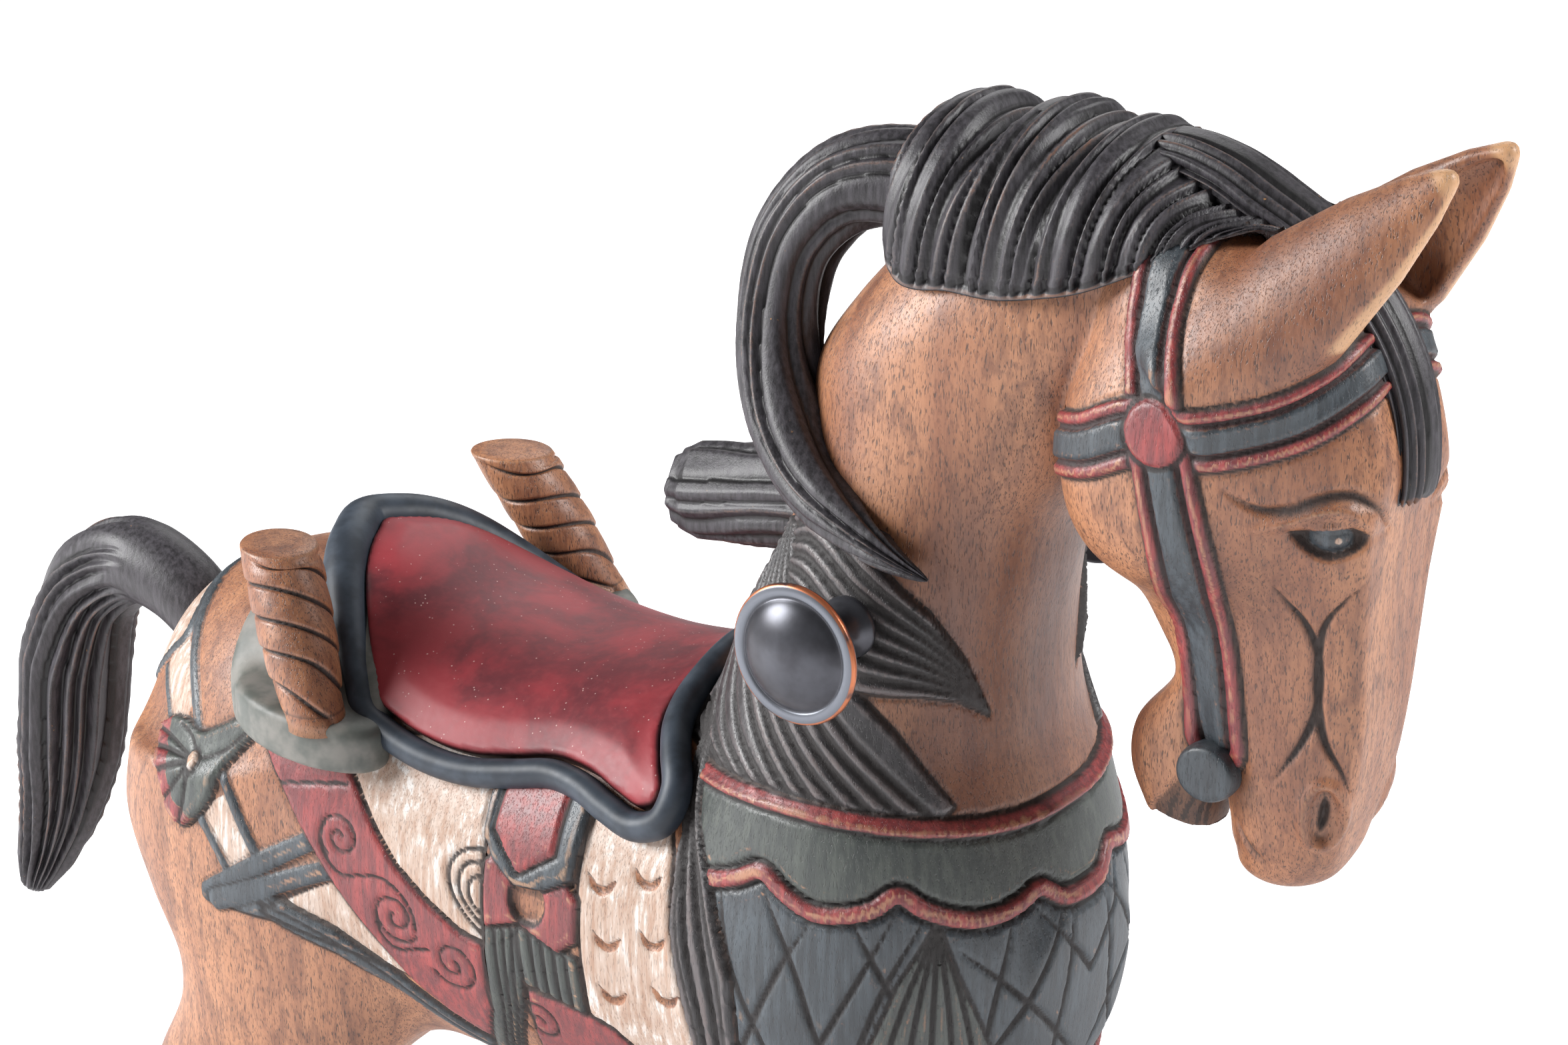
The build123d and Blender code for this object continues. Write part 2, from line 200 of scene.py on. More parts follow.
HEAD = Tube([  # up Z, from the chin to the crown
    (271, 187, 3, 4, 4, 2), (273.5, 187, 8, 9, 8, 2), (280, 188.5, 12, 14, 12, 2.2),
    (289, 190, 15.5, 16, 14, 2.2), (300, 190.5, 18, 20, 15.5, 2.2), (315, 188.5, 26, 26, 17, 2.1),
    (330, 186, 33, 31, 19, 2.1), (345, 182, 38, 36, 22.5, 2.1), (360, 177.5, 38, 41, 27, 2.2),
    (375, 174.5, 38, 41, 29.5, 2.2), (390, 172.5, 36, 38, 29, 2.2), (404, 171, 33, 31, 26, 2.2),
    (413, 167, 28, 22, 21, 2.1), (419, 163, 17, 12, 11, 2)])
FACE_FRONT = smooth_curve([260, 272, 280, 290, 315, 330, 345, 360, 372, 385, 405, 430],
                          [194, 198, 201.5, 204.5, 208.5, 209, 209.5, 210.5, 212, 209, 200, 184])
JAW = Tube([
    (273, 163, 4, 5, 6, 2), (277, 163, 6.5, 7.5, 8, 2.3), (284, 163, 9.5, 9.5, 10, 2.4),
    (292, 163, 13, 11, 11.5, 2.4), (302, 165, 14.5, 13, 12.5, 2.3), (315, 169, 9, 16, 13, 2.2),
    (335, 174, 12, 16, 14, 2)])
HIND_LEG = [  # (z, x, y, half length, half length, half width)
    (240, -98, 34, 34, 30, 19), (222, -94, 36, 40, 38, 19), (200, -85, 37, 41, 42, 18.5),
    (182, -79, 38, 37, 39, 17.5), (172, -79, 38, 37, 36, 17), (150, -98, 37, 29, 26, 14.5),
    (130, -116, 36, 22, 20, 12.5), (112, -130, 35, 20, 16, 11.5), (94, -133, 34, 13, 12, 10),
    (70, -130, 34, 9.5, 9, 8), (46, -127, 34, 8.5, 8.5, 7.5), (28, -125, 34, 10.5, 10, 9.5),
    (18, -120, 34, 10, 10, 9.5), (12, -116, 34, 13, 13.5, 12.5), (0, -112, 34, 16.5, 17, 14.5),
    (-6, -110, 34, 17, 17, 15)]
FORELEG = [
    (222, 88, 30, 20, 20, 14), (205, 89, 32, 25, 25, 16.5), (190, 90, 32, 24, 23, 16),
    (172, 92, 32, 19.5, 19.5, 14.5), (150, 95, 31, 15.5, 15.5, 12), (125, 98, 30, 12.5, 12.5, 10.5),
    (98, 101, 30, 12, 12.5, 11), (78, 100, 30, 9.5, 9.5, 8.5), (50, 99, 30, 8.5, 8.5, 7.5),
    (28, 99, 30, 10.5, 10, 9.5), (18, 103, 30, 10, 10, 9.5), (12, 106, 30, 13, 13.5, 12.5),
    (0, 110, 30, 16.5, 17, 14.5), (-6, 112, 30, 17, 17, 15)]


def leg_field(rows):
    """The field of a right leg from its rows of sections."""
    tube = Tube([(z, x, back, front, width, 2.1) for z, x, _, back, front, width in rows])
    middle_y = smooth_curve([row[0] for row in sorted(rows)], [row[2] for row in sorted(rows)])
    return lambda Q: tube(Q[:, 2], Q[:, 0], Q[:, 1] + middle_y(Q[:, 2]))


hind_field, fore_field = leg_field(HIND_LEG), leg_field(FORELEG)


def torso(P):
    """Barrel, chest, neck and the tops of the legs in one."""
    Q = right_side(P)
    x, y, z = Q.T
    d = smin(BARREL(x, z, y), hind_field(Q), 14)
    d = smin(d, fore_field(Q), 10)
    return smin(d, CHEST(z, x, y), 16)


EAR_BASE, EAR_TIP = np.array([183, -21, 398.0]), np.array([222, -13.5, 437.0])
EAR_LENGTH = np.linalg.norm(EAR_TIP - EAR_BASE)
EAR_AXIS = (EAR_TIP - EAR_BASE) / EAR_LENGTH
ear_side = np.array([0.62, -0.35, -0.70])
ear_side -= (ear_side @ EAR_AXIS) * EAR_AXIS
EAR_SIDE = ear_side / np.linalg.norm(ear_side)  # towards the low front edge
EAR_OUT = np.cross(EAR_AXIS, EAR_SIDE)
EAR_OUT *= -np.sign(EAR_OUT[1])


def in_ear(Q):
    """Places along, across and out of the right ear, and its half width and half thickness there."""
    R = Q - EAR_BASE
    s, u, v = R @ EAR_AXIS, R @ EAR_SIDE, R @ EAR_OUT
    t = np.clip((s + 16) / (EAR_LENGTH + 16), 0, 1)
    half = np.interp(t, [0, .2, .45, .7, .88, 1], [12, 14.5, 14.5, 10.5, 6, 1.5])
    thick = np.interp(t, [0, .3, .7, 1], [13, 10, 6, 2])
    return s, u, v, half, thick


def ear_field(Q):
    """A pointed leaf, hollowed on the side that faces the other ear."""
    s, u, v, half, thick = in_ear(Q)
    d = (np.hypot(u / half, v / thick) - 1) * np.minimum(half, thick)
    hollow = (np.hypot(u / (half - 2.0).clip(1), (v + thick * 0.95) / (thick * 0.95)) - 1) * thick * 0.6
    hollow = smax(hollow, np.maximum(6 - s, s - EAR_LENGTH + 3), 3)
    d = smax(d, -hollow, 1.2)
    return smax(d, np.maximum(-16 - s, s - EAR_LENGTH), 2)


def full_head(P):
    """Skull, flat face front, open lower jaw and ears."""
    Q = right_side(P)
    x, y, z = Q.T
    d = smin(HEAD(z, x, y), blob(Q, (166, 0, 366), (29.5, 32, 29), 2.3, 3.0), 7)
    d = smax(d, x - FACE_FRONT(z), 1.4)
    chin = smax(JAW(z, x, y), 280.5 - 0.18 * (x - 168) - z, 1.0)
    lip = blob(Q, (179.5, 0, 283.5), (5, 7, 8), 2.0, 2.0)
    d = smin(smin(d, chin, 3), lip, 1.0)
    return smin(d, ear_field(Q), 6)


def horse(P):
    return smin(torso(P), full_head(P), 1.2)


# ---- fine surfaces -------------------------------------------------------------------------------
class Surface:
    """Points in mm with four- and three-sided faces, and numbers on the points by name."""

    def __init__(self, points, quads, triangles=None):
        self.points = np.asarray(points, float)
        self.quads = np.asarray(quads, int).reshape(-1, 4)
        none = np.zeros((0, 3), int)
        self.triangles = none if triangles is None else np.asarray(triangles, int).reshape(-1, 3)
        self.values = {}

    def all_triangles(self):
        return np.vstack([self.quads[:, [0, 1, 2]], self.quads[:, [0, 2, 3]], self.triangles])

    def volume(self):
        a, b, c = (self.points[i] for i in self.all_triangles().T)
        return np.einsum("ij,ij->", a, np.cross(b, c)) / 6

    def turn_over(self):
        self.quads, self.triangles = self.quads[:, ::-1], self.triangles[:, ::-1]

    def face_out(self):
        if self.volume() < 0:
            self.turn_over()
        return self

    def normals(self):
        faces = self.all_triangles()
        a, b, c = (self.points[i] for i in faces.T)
        n = np.cross(b - a, c - a)
        sums = [np.bincount(faces.ravel(), np.repeat(n[:, k], 3), len(self.points)) for k in range(3)]
        total = np.stack(sums, 1)
        return total / np.maximum(np.linalg.norm(total, axis=1), 1e-12)[:, None]

    def average(self, value):
        """The mean over each point's neighbours."""
        faces = self.all_triangles()
        start, end = faces.ravel(), np.roll(faces, 1, axis=1).ravel()
        count = np.bincount(start, minlength=len(self.points)) + np.bincount(end, minlength=len(self.points))
        columns = value.reshape(len(value), -1).T
        sums = [np.bincount(start, c[end], len(value)) + np.bincount(end, c[start], len(value))
                for c in columns]
        return (np.stack(sums, 1) / np.maximum(count, 1)[:, None]).reshape(value.shape)

    def carve(self, outward):
        self.points = self.points + self.normals() * outward[:, None]
        return self

    def find_edges(self, softness):
        """Stores "edge": positive where the surface is a ridge, negative in a groove."""
        bend = self.points - self.average(self.points)
        for _ in range(2):
            bend = self.average(bend)
        sharp = np.einsum("ij,ij->i", bend, self.normals())
        overall = sharp
        for _ in range(10):
            overall = self.average(overall)
        self.values["edge"] = np.clip((sharp - overall) / softness, -1, 1)


def field_surface(field, low, high, size):
    """The zero surface of a field that is the same for y and -y, at about size mm between points."""
    block = 4
    low, high = np.array(low, float), np.array(high, float)
    half = int(np.ceil(-low[1] / size / block)) * block
    low[1] = -half * size
    high[1] = block * size
    blocks = np.ceil((high - low) / size / block - 1e-6).astype(int)
    corners = np.indices(blocks).reshape(3, -1).T * block
    rough = field(low + (corners + (block - 1) / 2) * size)
    values = np.where(rough > 0, 5.0, -5.0).reshape(blocks)
    for axis in range(3):
        values = np.repeat(values, block, axis)
    inner = np.indices((block,) * 3).reshape(3, -1).T
    nodes = (corners[np.abs(rough) < 1.5 * block * size][:, None] + inner).reshape(-1, 3)
    parts = np.array_split(nodes, max(1, len(nodes) // 300000))
    values[tuple(nodes.T)] = np.clip(np.concatenate([field(low + part * size) for part in parts]), -5, 5)
    values = values[:, :half + 1]
    values = np.concatenate([values, values[:, -2::-1]], axis=1)
    grid = openvdb.FloatGrid(5.0)
    grid.copyFromArray(values.astype(np.float32), tolerance=0)
    points, triangles, quads = grid.convertToPolygons(isovalue=0.0, adaptivity=0.0)
    surface = Surface(points * size + low, quads, triangles)
    sample = slice(None, None, max(1, len(points) // 2000))
    if np.mean(field((surface.points + surface.normals() * size)[sample]) > 0) < 0.5:
        surface.turn_over()
    return surface


def sheet_grid(rows):
    """A closed surface from rings of points, all the same length, with a middle point at each end."""
    rows = [np.asarray(r, float) for r in rows]
    count, n = len(rows), len(rows[0])
    points = np.vstack(rows + [rows[0].mean(0)[None], rows[-1].mean(0)[None]])
    i, j = np.meshgrid(np.arange(count - 1), np.arange(n), indexing="ij")
    k = (j + 1) % n
    quads = np.stack([i * n + j, i * n + k, (i + 1) * n + k, (i + 1) * n + j], -1).reshape(-1, 4)
    j = np.arange(n)
    first = np.stack([np.full(n, count * n), (j + 1) % n, j], 1)
    last = np.stack([np.full(n, count * n + 1), (count - 1) * n + j, (count - 1) * n + (j + 1) % n], 1)
    return Surface(points, quads, np.vstack([first, last])).face_out()


def grid_values(grid, extra=2):
    """A grid's values in the order of its points, with 0 for the middle points at the ends."""
    return np.concatenate([grid.ravel(), np.zeros(extra)])


def merged(*surfaces):
    """Several surfaces as one, each with its own paints."""
    points, quads, triangles, start = [], [], [], 0
    for s in surfaces:
        points.append(s.points)
        quads.append(s.quads + start)
        triangles.append(s.triangles + start)
        start += len(s.points)
    out = Surface(np.vstack(points), np.vstack(quads), np.vstack(triangles))
    names = sorted({name for s in surfaces for name in s.values})
    for name in names:
        out.values[name] = np.concatenate([s.values.get(name, np.full(len(s.points), DEFAULT.get(name, 0.0)))
                                           for s in surfaces])
    return out


# ---- paint and carving ---------------------------------------------------------------------------
PAINTS = ("red", "blue", "green", "cream", "black")
DEFAULT = {**{paint: FAR for paint in PAINTS}, "wash": 0.0, "edge": 0.0}


def painted_shade_and_rubbed_rims(points):
    """Where the wood gets a darker brown as painted shade: under the head on the throat, on the side of the
    face beside the cheek strap and on the ears; below 0 where the rims of the ears are rubbed.
    """
    x, _, z = points.T
    throat = step(x, 84, 118) * step(x, 142, 137) * step(z, 258, 290) * step(z, 372, 325)
    face = step(x, 170, 178) * step(x, 205, 194) * step(z, 283, 300) * step(z, 362, 345)
    ears = step(x, 176, 186) * step(x, 226, 205) * step(z, 388, 400)
    s, u, _, half, _ = in_ear(right_side(points))
    rim = step(u / half, 0.84, 1.02) * step(s, 4, 18)
    rubbed = np.maximum(rim, step(s, EAR_LENGTH - 7, EAR_LENGTH - 1)) * step(x, 176, 190) * step(z, 396, 402)
    return np.maximum(throat, np.maximum(0.55 * face, 0.5 * ears)) * (1 - rubbed) - rubbed


class Carver:
    """Collects paint areas, grooves and raised areas on a surface, then applies them."""

    def __init__(self, surface):
        self.surface = surface
        n = len(surface.points)
        self.paints = {paint: np.full(n, FAR) for paint in PAINTS}
        self.up, self.down, self.dark = np.zeros(n), np.zeros(n), np.zeros(n)

    def paint(self, colour, distance, lift=0.0, soft=0.8, line=0.0):
        """Paints the area inside the distance, over what is there; line is the groove round its edge."""
        for name, field in self.paints.items():
            over = np.minimum(field, distance) if name == colour else np.maximum(field, -distance)
            self.paints[name] = over
        if lift:
            self.up += lift * step(distance, soft, -soft)
        if line:
            self.groove(np.abs(distance - 0.3), 0.85, line)

    def paint_all(self, colour):
        self.paint(colour, np.full(len(self.surface.points), -FAR))
        return self

    def bare(self, distance):
        """Takes the paint off the area inside the distance."""
        for name, field in self.paints.items():
            self.paints[name] = np.maximum(field, -distance)

    def groove(self, distance, half_width, depth, dark=1.0):
        """A V-shaped groove where the distance is 0, with dark paint in it."""
        cut = np.clip(1 - distance / half_width, 0, 1)
        self.down = np.maximum(self.down, depth * cut)
        shade = dark * np.clip(1.25 - distance / half_width, 0, 1) * min(1, depth * 1.4)
        self.dark = np.maximum(self.dark, shade)

    def line(self, points, path, half_width, depth, inside=0.0, dark=1.0, ends=0.0):
        """A groove along a path, kept inside an area and made shallower by ends at both ends."""
        if not isinstance(path, np.ndarray):
            path = spline(path)
        self.groove(path_distance(points, path, ends) + np.maximum(inside, 0), half_width, depth, dark)

    def lay(self, colour, distance, lift, soft=0.8, line=0.0):
        """A raised and painted area that hides the carving under it."""
        self.clear(distance)
        self.paint(colour, distance, lift, soft, line)

    def clear(self, distance):
        """Takes the grooves and lifts that are already there out of the area inside the distance."""
        keep = step(distance, -0.3, 0.5)
        self.up, self.down, self.dark = self.up * keep, self.down * keep, self.dark * keep

    def finish(self, softness=0.12):
        """Carves the surface and stores its paints and edges; returns it."""
        self.surface.carve(self.up - self.down)
        self.surface.values.update({name: np.clip(f, -FAR, FAR) for name, f in self.paints.items()})
        # the dark of the washed grooves, and the painted shade inside the mouth
        self.surface.values["wash"] = np.clip(self.dark, 0, 1)
        # painted shade on the throat, face and ears, and the rubbed rims of the ears
        self.surface.values["stain"] = painted_shade_and_rubbed_rims(self.surface.points)
        self.surface.find_edges(softness)
        return self.surface


def between(first, second, share, count=24):
    """A path part of the way from one path to another."""
    return spline(first, count) * (1 - share) + spline(second, count) * share


# ---- ornaments of the body: (along X, round the barrel from the top) -----------------------------
BARREL_ROUND, BARREL_Z = 56, 232  # mm for a radian round the barrel, and the height of its axis
CHEST_ROUND, CHEST_X = 50, 90  # the same for the upright axis of the chest and neck


def on_barrel(points):
    """Flat coordinates on the barrel, the same on both sides: along X, and round it from the top."""
    x, y, z = points.T
    return np.stack([x, BARREL_ROUND * np.arctan2(np.abs(y), z - BARREL_Z)], 1)


def on_chest(points):
    """Flat coordinates on the chest and neck, the same on both sides: round from the front, and up."""
    x, y, z = points.T
    return np.stack([CHEST_ROUND * np.arctan2(np.abs(y), x - CHEST_X), z], 1)


def line_area(points, path, half_width):
    """Signed distance to the edge of the band along a path."""
    return path_distance(points, spline(path)) - half_width


SADDLE_LINE = [(-81, 0), (-77, 8), (-69.5, 19), (-58, 32), (-48.5, 43), (-42, 50), (-34, 53), (-22, 55.5),
               (-8, 55.5), (5, 52.5), (15, 50), (25, 51), (34, 54), (44, 56), (51.5, 52.5), (53, 46),
               (48, 38), (43.5, 31), (41, 22), (41.5, 12), (42, 0)]
STRIP_REAR = [(47, 22), (52, 31), (53, 40), (56, 55), (57, 78), (63, 109), (60, 135), (52, 168)]
STRIP_FRONT = [(54, 22), (57, 33), (61, 50), (69, 65), (76, 85), (77, 103), (73, 135), (66, 168)]
strip_edge_x = smooth_curve([p[1] for p in STRIP_FRONT], [p[0] for p in STRIP_FRONT])
HEXAGON = [(3, 54), (22, 52), (22, 69), (12, 76.5), (3, 67)]
STIRRUP = [(0.5, 76), (0.5, 94.5), (11, 90.5), (23, 95.5), (28.5, 91), (29, 79), (23, 73), (4, 73)]
BAND = [(-73, 62), (-64, 73), (-56, 84), (-48, 95), (-38, 107), (-27, 119), (-17, 127), (-5, 134), (0, 136),
        (0, 100.5), (-7, 99), (-17, 93), (-26, 86), (-33, 78), (-41, 67), (-48, 58)]
FAN = [(-116, 70), (-110, 66), (-103, 65.5), (-96, 67), (-88, 63.5), (-80, 60), (-75, 62), (-80, 69),
       (-84, 75), (-87, 83), (-92, 89), (-98, 93), (-103, 90), (-106, 83), (-112, 77)]
SPIRALS = [((-44, 82), 6.8, 2.2, 1), ((-27.5, 100), 7.6, 0.6, 1), ((-10.5, 109), 7.8, 2.6, -1),
           ((14, 120), 7, 2.4, 1), ((33, 128), 7, 0.8, -1)]


def spiral(middle, radius, start, turn):
    """A scroll that winds inwards; turn is 1 or -1 for its direction."""
    t = np.linspace(0, 1, 44)
    angle = start + turn * t * 2 * pi * 1.55
    r = radius * (1 - 0.88 * t**1.15)
    return np.stack([middle[0] + r * np.cos(angle), middle[1] + r * np.sin(angle)], 1)


def carve_barrel(c, body):
    """Saddle cloth, straps and scroll band on the side of the barrel."""
    cloth_edge = [(-90, 110), (-68, 110), (-49, 116), (-35, 124), (-24, 132), (-13, 140), (0, 146),
                  (20, 148), (40, 144), (64, 138)]
    # rump straps
    for outline in ([(-121, 12), (-119, 33), (-118, 42), (-128, 48), (-137, 50), (-134, 30), (-128, 12)],
                    [(-117, 38), (-111, 47), (-103, 61), (-105, 66), (-114, 68), (-120, 58), (-124, 51)]):
        c.paint("cream", area(body, outline), 0.4)
    for path, half_width in (
            ([(-121, 4), (-120, 20), (-117, 33), (-117, 41), (-128, 47.5), (-138, 55)], 1.9),
            ([(-118, 22), (-115, 33), (-110, 45), (-103, 57), (-98, 67)], 1.6),
            ([(-124, 51), (-119, 59), (-113, 68)], 1.1)):
        c.lay("blue", line_area(body, path, half_width), 0.8, 0.8, 0.4)
    c.paint("cream", area(body, [(-90, 86), (-82, 80), (-70, 99), (-80, 104)]), 0.3)
    for path in [(-92, 87), (-86, 94), (-80, 102)], [(-83, 76), (-77, 86), (-71, 95)]:
        c.paint("blue", line_area(body, path, 1.5), 0.8, 0.8, 0.4)
    # fan with a pin
    fan = area(body, FAN, curved=True)
    c.lay("green", fan, 1.8, 1.0, 1.0)
    pin = np.array([-94.0, 75.0])
    for end in (-117, 71), (-116, 77), (-112, 83), (-106, 90), (-98, 93):
        end = np.array(end, float)
        rib = spline([pin + (end - pin) * 0.16, pin + (end - pin) * 0.6 + (0.5, -0.6), end])
        c.line(body, rib, 1.0, 1.0, fan)
    for path in [(-92, 74), (-86, 71), (-77, 63)], [(-95, 72), (-98, 69), (-104, 67)]:
        c.line(body, path, 0.9, 0.7)
    rim = line_area(body, [(-118, 68), (-116, 77), (-110, 84), (-106, 92), (-99, 96)], 8.5)
    c.paint("red", np.maximum(rim, fan + 0.2))
    c.paint("cream", np.hypot(*(body - pin).T * np.array([[1.0], [0.7]])) - 1.8, 1.0, 0.5, 0.6)
    # scroll band
    band = area(body, BAND)
    c.paint("red", band, 1.1, 0.9, 0.9)
    c.line(body, [(-64.5, 72.5), (-43, 67.5)], 0.8, 0.7, band)
    # V-shaped straps and the border under them
    triangle = area(body, [(-70, 108), (-48, 96), (-37, 108), (-27, 119.5), (-50, 113)])
    c.paint("cream", triangle, 0.3, 0.8, 0.7)
    border = area(body, [(-88, 106)] + [(x, s - 6.5) for x, s in cloth_edge[1:]] + cloth_edge[::-1])
    c.paint("blue", border, 1.2, 0.8, 0.9)
    c.line(body, [(x, s - 3.4) for x, s in cloth_edge], 0.8, 0.6)
    for path in [(-89, 108), (-72, 97), (-55, 86.5)], [(-86, 109), (-67, 101), (-48, 92.5)]:
        strap = np.maximum(line_area(body, path, 2.7), -area(body, BAND))
        c.lay("blue", strap, 1.0, 0.8, 0.5)
    # cream side panels
    cream = area(body, [(-50, 55), (-41, 66), (-33, 77), (-26, 85), (-17, 92), (-7, 98), (-0.4, 99.5),
                        (-0.4, 50), (-20, 48)])
    c.paint("cream", cream, 0.5, 0.9, 0.9)
    scales = area(body, [(27, 56), (50, 50), (54, 60), (56, 78), (62, 109), (60, 121), (52, 116), (44, 120),
                         (37, 114), (30.5, 112), (29.5, 92)])
    c.paint("cream", scales, 0.4, 0.8, 0.9)
    lower = area(body, [(29, 112), (37, 115), (44, 121), (52, 117), (60, 122), (60, 138), (40, 139),
                        (20, 142), (9, 141), (12, 110)])
    c.paint("red", lower, 0.7, 0.8, 0.9)
    for x, s in (35, 73), (48, 68), (37.5, 88), (51, 83.5), (38.5, 103.5), (54.5, 98.5):
        smile = area(body, [(x - 4.2, s - 2.2), (x, s + 0.4), (x + 4.2, s - 2.2), (x + 2.6, s + 1.6),
                            (x, s + 2.8), (x - 2.6, s + 1.6)], curved=True)
        c.down = np.maximum(c.down, 1.3 * step(smile, 0.4, -1.2))
        c.bare(smile)
        c.line(body, [(x - 4.2, s - 2.2), (x, s + 0.4), (x + 4.2, s - 2.2)], 0.55, 0.5)
    # arcs beside the seam
    for arc in ([(-0.5, 73.5), (-6.5, 75.5), (-10.3, 81), (-9.3, 87.5), (-5, 93.5), (0, 97.8)],
                [(-0.5, 77), (-5, 78.6), (-7.3, 83), (-6.4, 88), (-3, 92.3), (0, 95)],
                [(-0.5, 80.8), (-3, 82), (-4.2, 85), (-3.2, 89), (0, 92)]):
        c.line(body, arc, 0.9, 1.2)
    # buckle: stirrup strap, flutes, then the hexagon hanging over them
    flutes_left = area(body, [(0.6, 95), (11, 92), (12.5, 96), (9, 118), (0, 140), (-10, 141), (-1, 120)])
    flutes_right = area(body, [(11, 92), (28.5, 96), (29, 112), (11.5, 108)])
    for flutes, first, second, count in (
            (flutes_left, [(1, 95), (0, 120), (-8, 141)], [(12, 93), (9, 118), (0, 141)], 4),
            (flutes_right, [(11, 93), (12, 110)], [(28.5, 97), (29, 113)], 5)):
        c.lay("green", flutes, 0.9, 0.6, 0.9)
        for share in np.linspace(0, 1, count + 1)[1:-1]:
            c.line(body, between(first, second, share), 0.95, 1.2, flutes)
    stirrup = area(body, STIRRUP)
    c.lay("red", stirrup, 1.2, 0.6, 1.0)
    hole = (np.hypot((body[:, 0] - 14) / 5.2, (body[:, 1] - 83.5) / 6.6) - 1) * 5.2
    c.down = np.maximum(c.down, 2.0 * step(hole, 0.6, -0.8))
    c.bare(hole)
    c.groove(np.abs(hole), 0.8, 0.7)
    hexagon = area(body, HEXAGON)
    around = area(body, [(-1.5, 52), (-0.5, 69), (4, 75), (11, 80), (19, 79), (27.5, 74), (28.5, 56),
                         (24, 50)])
    c.lay("blue", around, 2.6, 0.8, 1.1)
    c.lay("red", hexagon, 2.9, 0.5, 1.2)
    for middle, radius, start, turn in SPIRALS:
        c.line(body, spiral(middle, radius, start, turn), 0.85, 1.0, dark=0.85)
    for path in ([(-49, 79), (-50.5, 84), (-48.5, 89), (-44, 92.5), (-38, 91), (-31, 90), (-25.5, 92.5),
                  (-22, 97), (-21.5, 102)],
                 [(-34, 100), (-33.5, 106), (-29, 110), (-22, 108), (-18, 107)]):
        c.line(body, path, 0.75, 1.0)
    # glue line between the two body blocks, where paint has cracked
    c.groove(np.abs(body[:, 0] - SEAM_X) + 20 * (body[:, 1] < 50) + 20 * (body[:, 1] > 100), 0.45, 0.35, 0.7)


def carve_strip(c, body):
    """The wavy black fringe that parts the saddle cloth from the breast cloth."""
    strip = area(body, STRIP_REAR + STRIP_FRONT[::-1])
    c.lay("black", strip, 1.8, 0.9, 1.6)
    for share in (0.3, 0.62):
        c.line(body, between(STRIP_REAR, STRIP_FRONT, share, 60), 1.5, 1.9, strip)
    for share in (0.14, 0.8):
        c.line(body, between(STRIP_REAR, STRIP_FRONT, share, 60), 0.8, 0.7, strip)


RING_TOP = smooth_curve([0, 9, 29, 47, 68, 86, 114, 160], [277, 277, 278, 280, 282, 282, 279.5, 279])
SCALLOP = [(-16, 261.5), (-9, 257.2), (0, 256.5), (9, 257.5), (16, 261.5), (24, 259.5), (31, 258.5),
           (39, 259.5), (47, 262.5), (53, 266), (58, 262.5), (64, 260.5), (71, 259.8), (79, 263), (84, 266),
           (92, 262), (102, 258.5), (112, 257.5)]
NET = [[(84, 260), (77, 246), (70, 226), (63, 205)], [(72, 255), (77, 246), (89, 219), (96, 205)],
       [(62, 256), (55, 242), (48, 228)], [(53, 260), (58, 249), (69, 226), (79, 205)],
       [(47, 258), (55, 242), (62, 222), (68, 205)], [(39, 250), (29, 241), (12, 223), (-1, 208)],
       [(26, 253), (29, 242), (33, 222), (38, 205)], [(18, 255), (8, 244), (0, 235), (-11, 223), (-22, 207)],
       [(7, 253), (9, 238), (12, 222), (17, 205)], [(-10, 253), (-20, 238), (-30, 222), (-39, 207)],
       [(10, 253), (20, 238), (30, 222), (39, 207)], [(96, 257), (92, 240), (84, 222), (76, 205)]]
SHELL_APEX = (44, 257)


def carve_chest(c, chest, body):
    """The breast cloth: ring, collar and scallops over a net on slate blue, with a shell in front."""
    behind = strip_edge_x(np.clip(body[:, 1], 22, 168)) - body[:, 0]
    u, z = chest.T
    bottom = 199 - 0.05 * u
    scallop = path_distance(chest, spline([(a, b - 2.1) for a, b in SCALLOP], 160))
    scallop_top = np.interp(u, *np.array(SCALLOP).T)
    ring_middle = RING_TOP(u) - 2.0
    blue = np.maximum.reduce([behind, z - scallop_top + 2, bottom - z])
    green = np.maximum.reduce([behind, z - ring_middle, scallop_top - 2 - z])
    c.paint("blue", blue, 0.6)
    for path in NET:
        c.line(chest, path, 1.1, 1.2, blue, ends=0.6)
    fan = area(chest, [SHELL_APEX, (52, 243), (60, 222), (63, 206), (21, 206), (30, 222), (39, 243)])
    fan = np.maximum(fan, blue)
    c.lay("green", fan, 0.9, 1.2, 1.0)
    for a in np.linspace(25, 59, 6):
        rib = spline([SHELL_APEX, (SHELL_APEX[0] + (a - 44) * 0.42, 240), (a, 205)])
        c.line(chest, rib, 0.95, 1.2, fan)
    c.paint("green", green, 1.1, 0.9)
    red_scallop = np.maximum(scallop - 2.1, behind)
    c.clear(red_scallop - 0.6)
    c.paint("red", red_scallop, 1.9, 0.7, 1.1)
    ring = np.maximum(np.abs(z - ring_middle) - 2.0, behind)
    c.paint("red", ring, 1.4, 0.7, 1.0)
    hem = np.maximum(np.abs(z - bottom - 2) - 2, behind)
    c.paint("red", hem, 1.4, 0.7, 1.0)


LOCK_B = ([(101, 340), (90, 345), (77, 344), (63, 337), (46, 326), (35, 314), (26, 300)],
          [(92, 322), (84, 318), (69, 308), (62, 307.5), (48, 307), (37, 305), (26, 300)])
LOCK_C = ([(104, 338), (95, 330), (84, 322), (65, 307), (55, 299), (47, 290), (39, 281.5)],
          [(112, 338), (118, 326), (126, 312), (134, 300), (143, 290), (154, 281), (160, 279.5)])


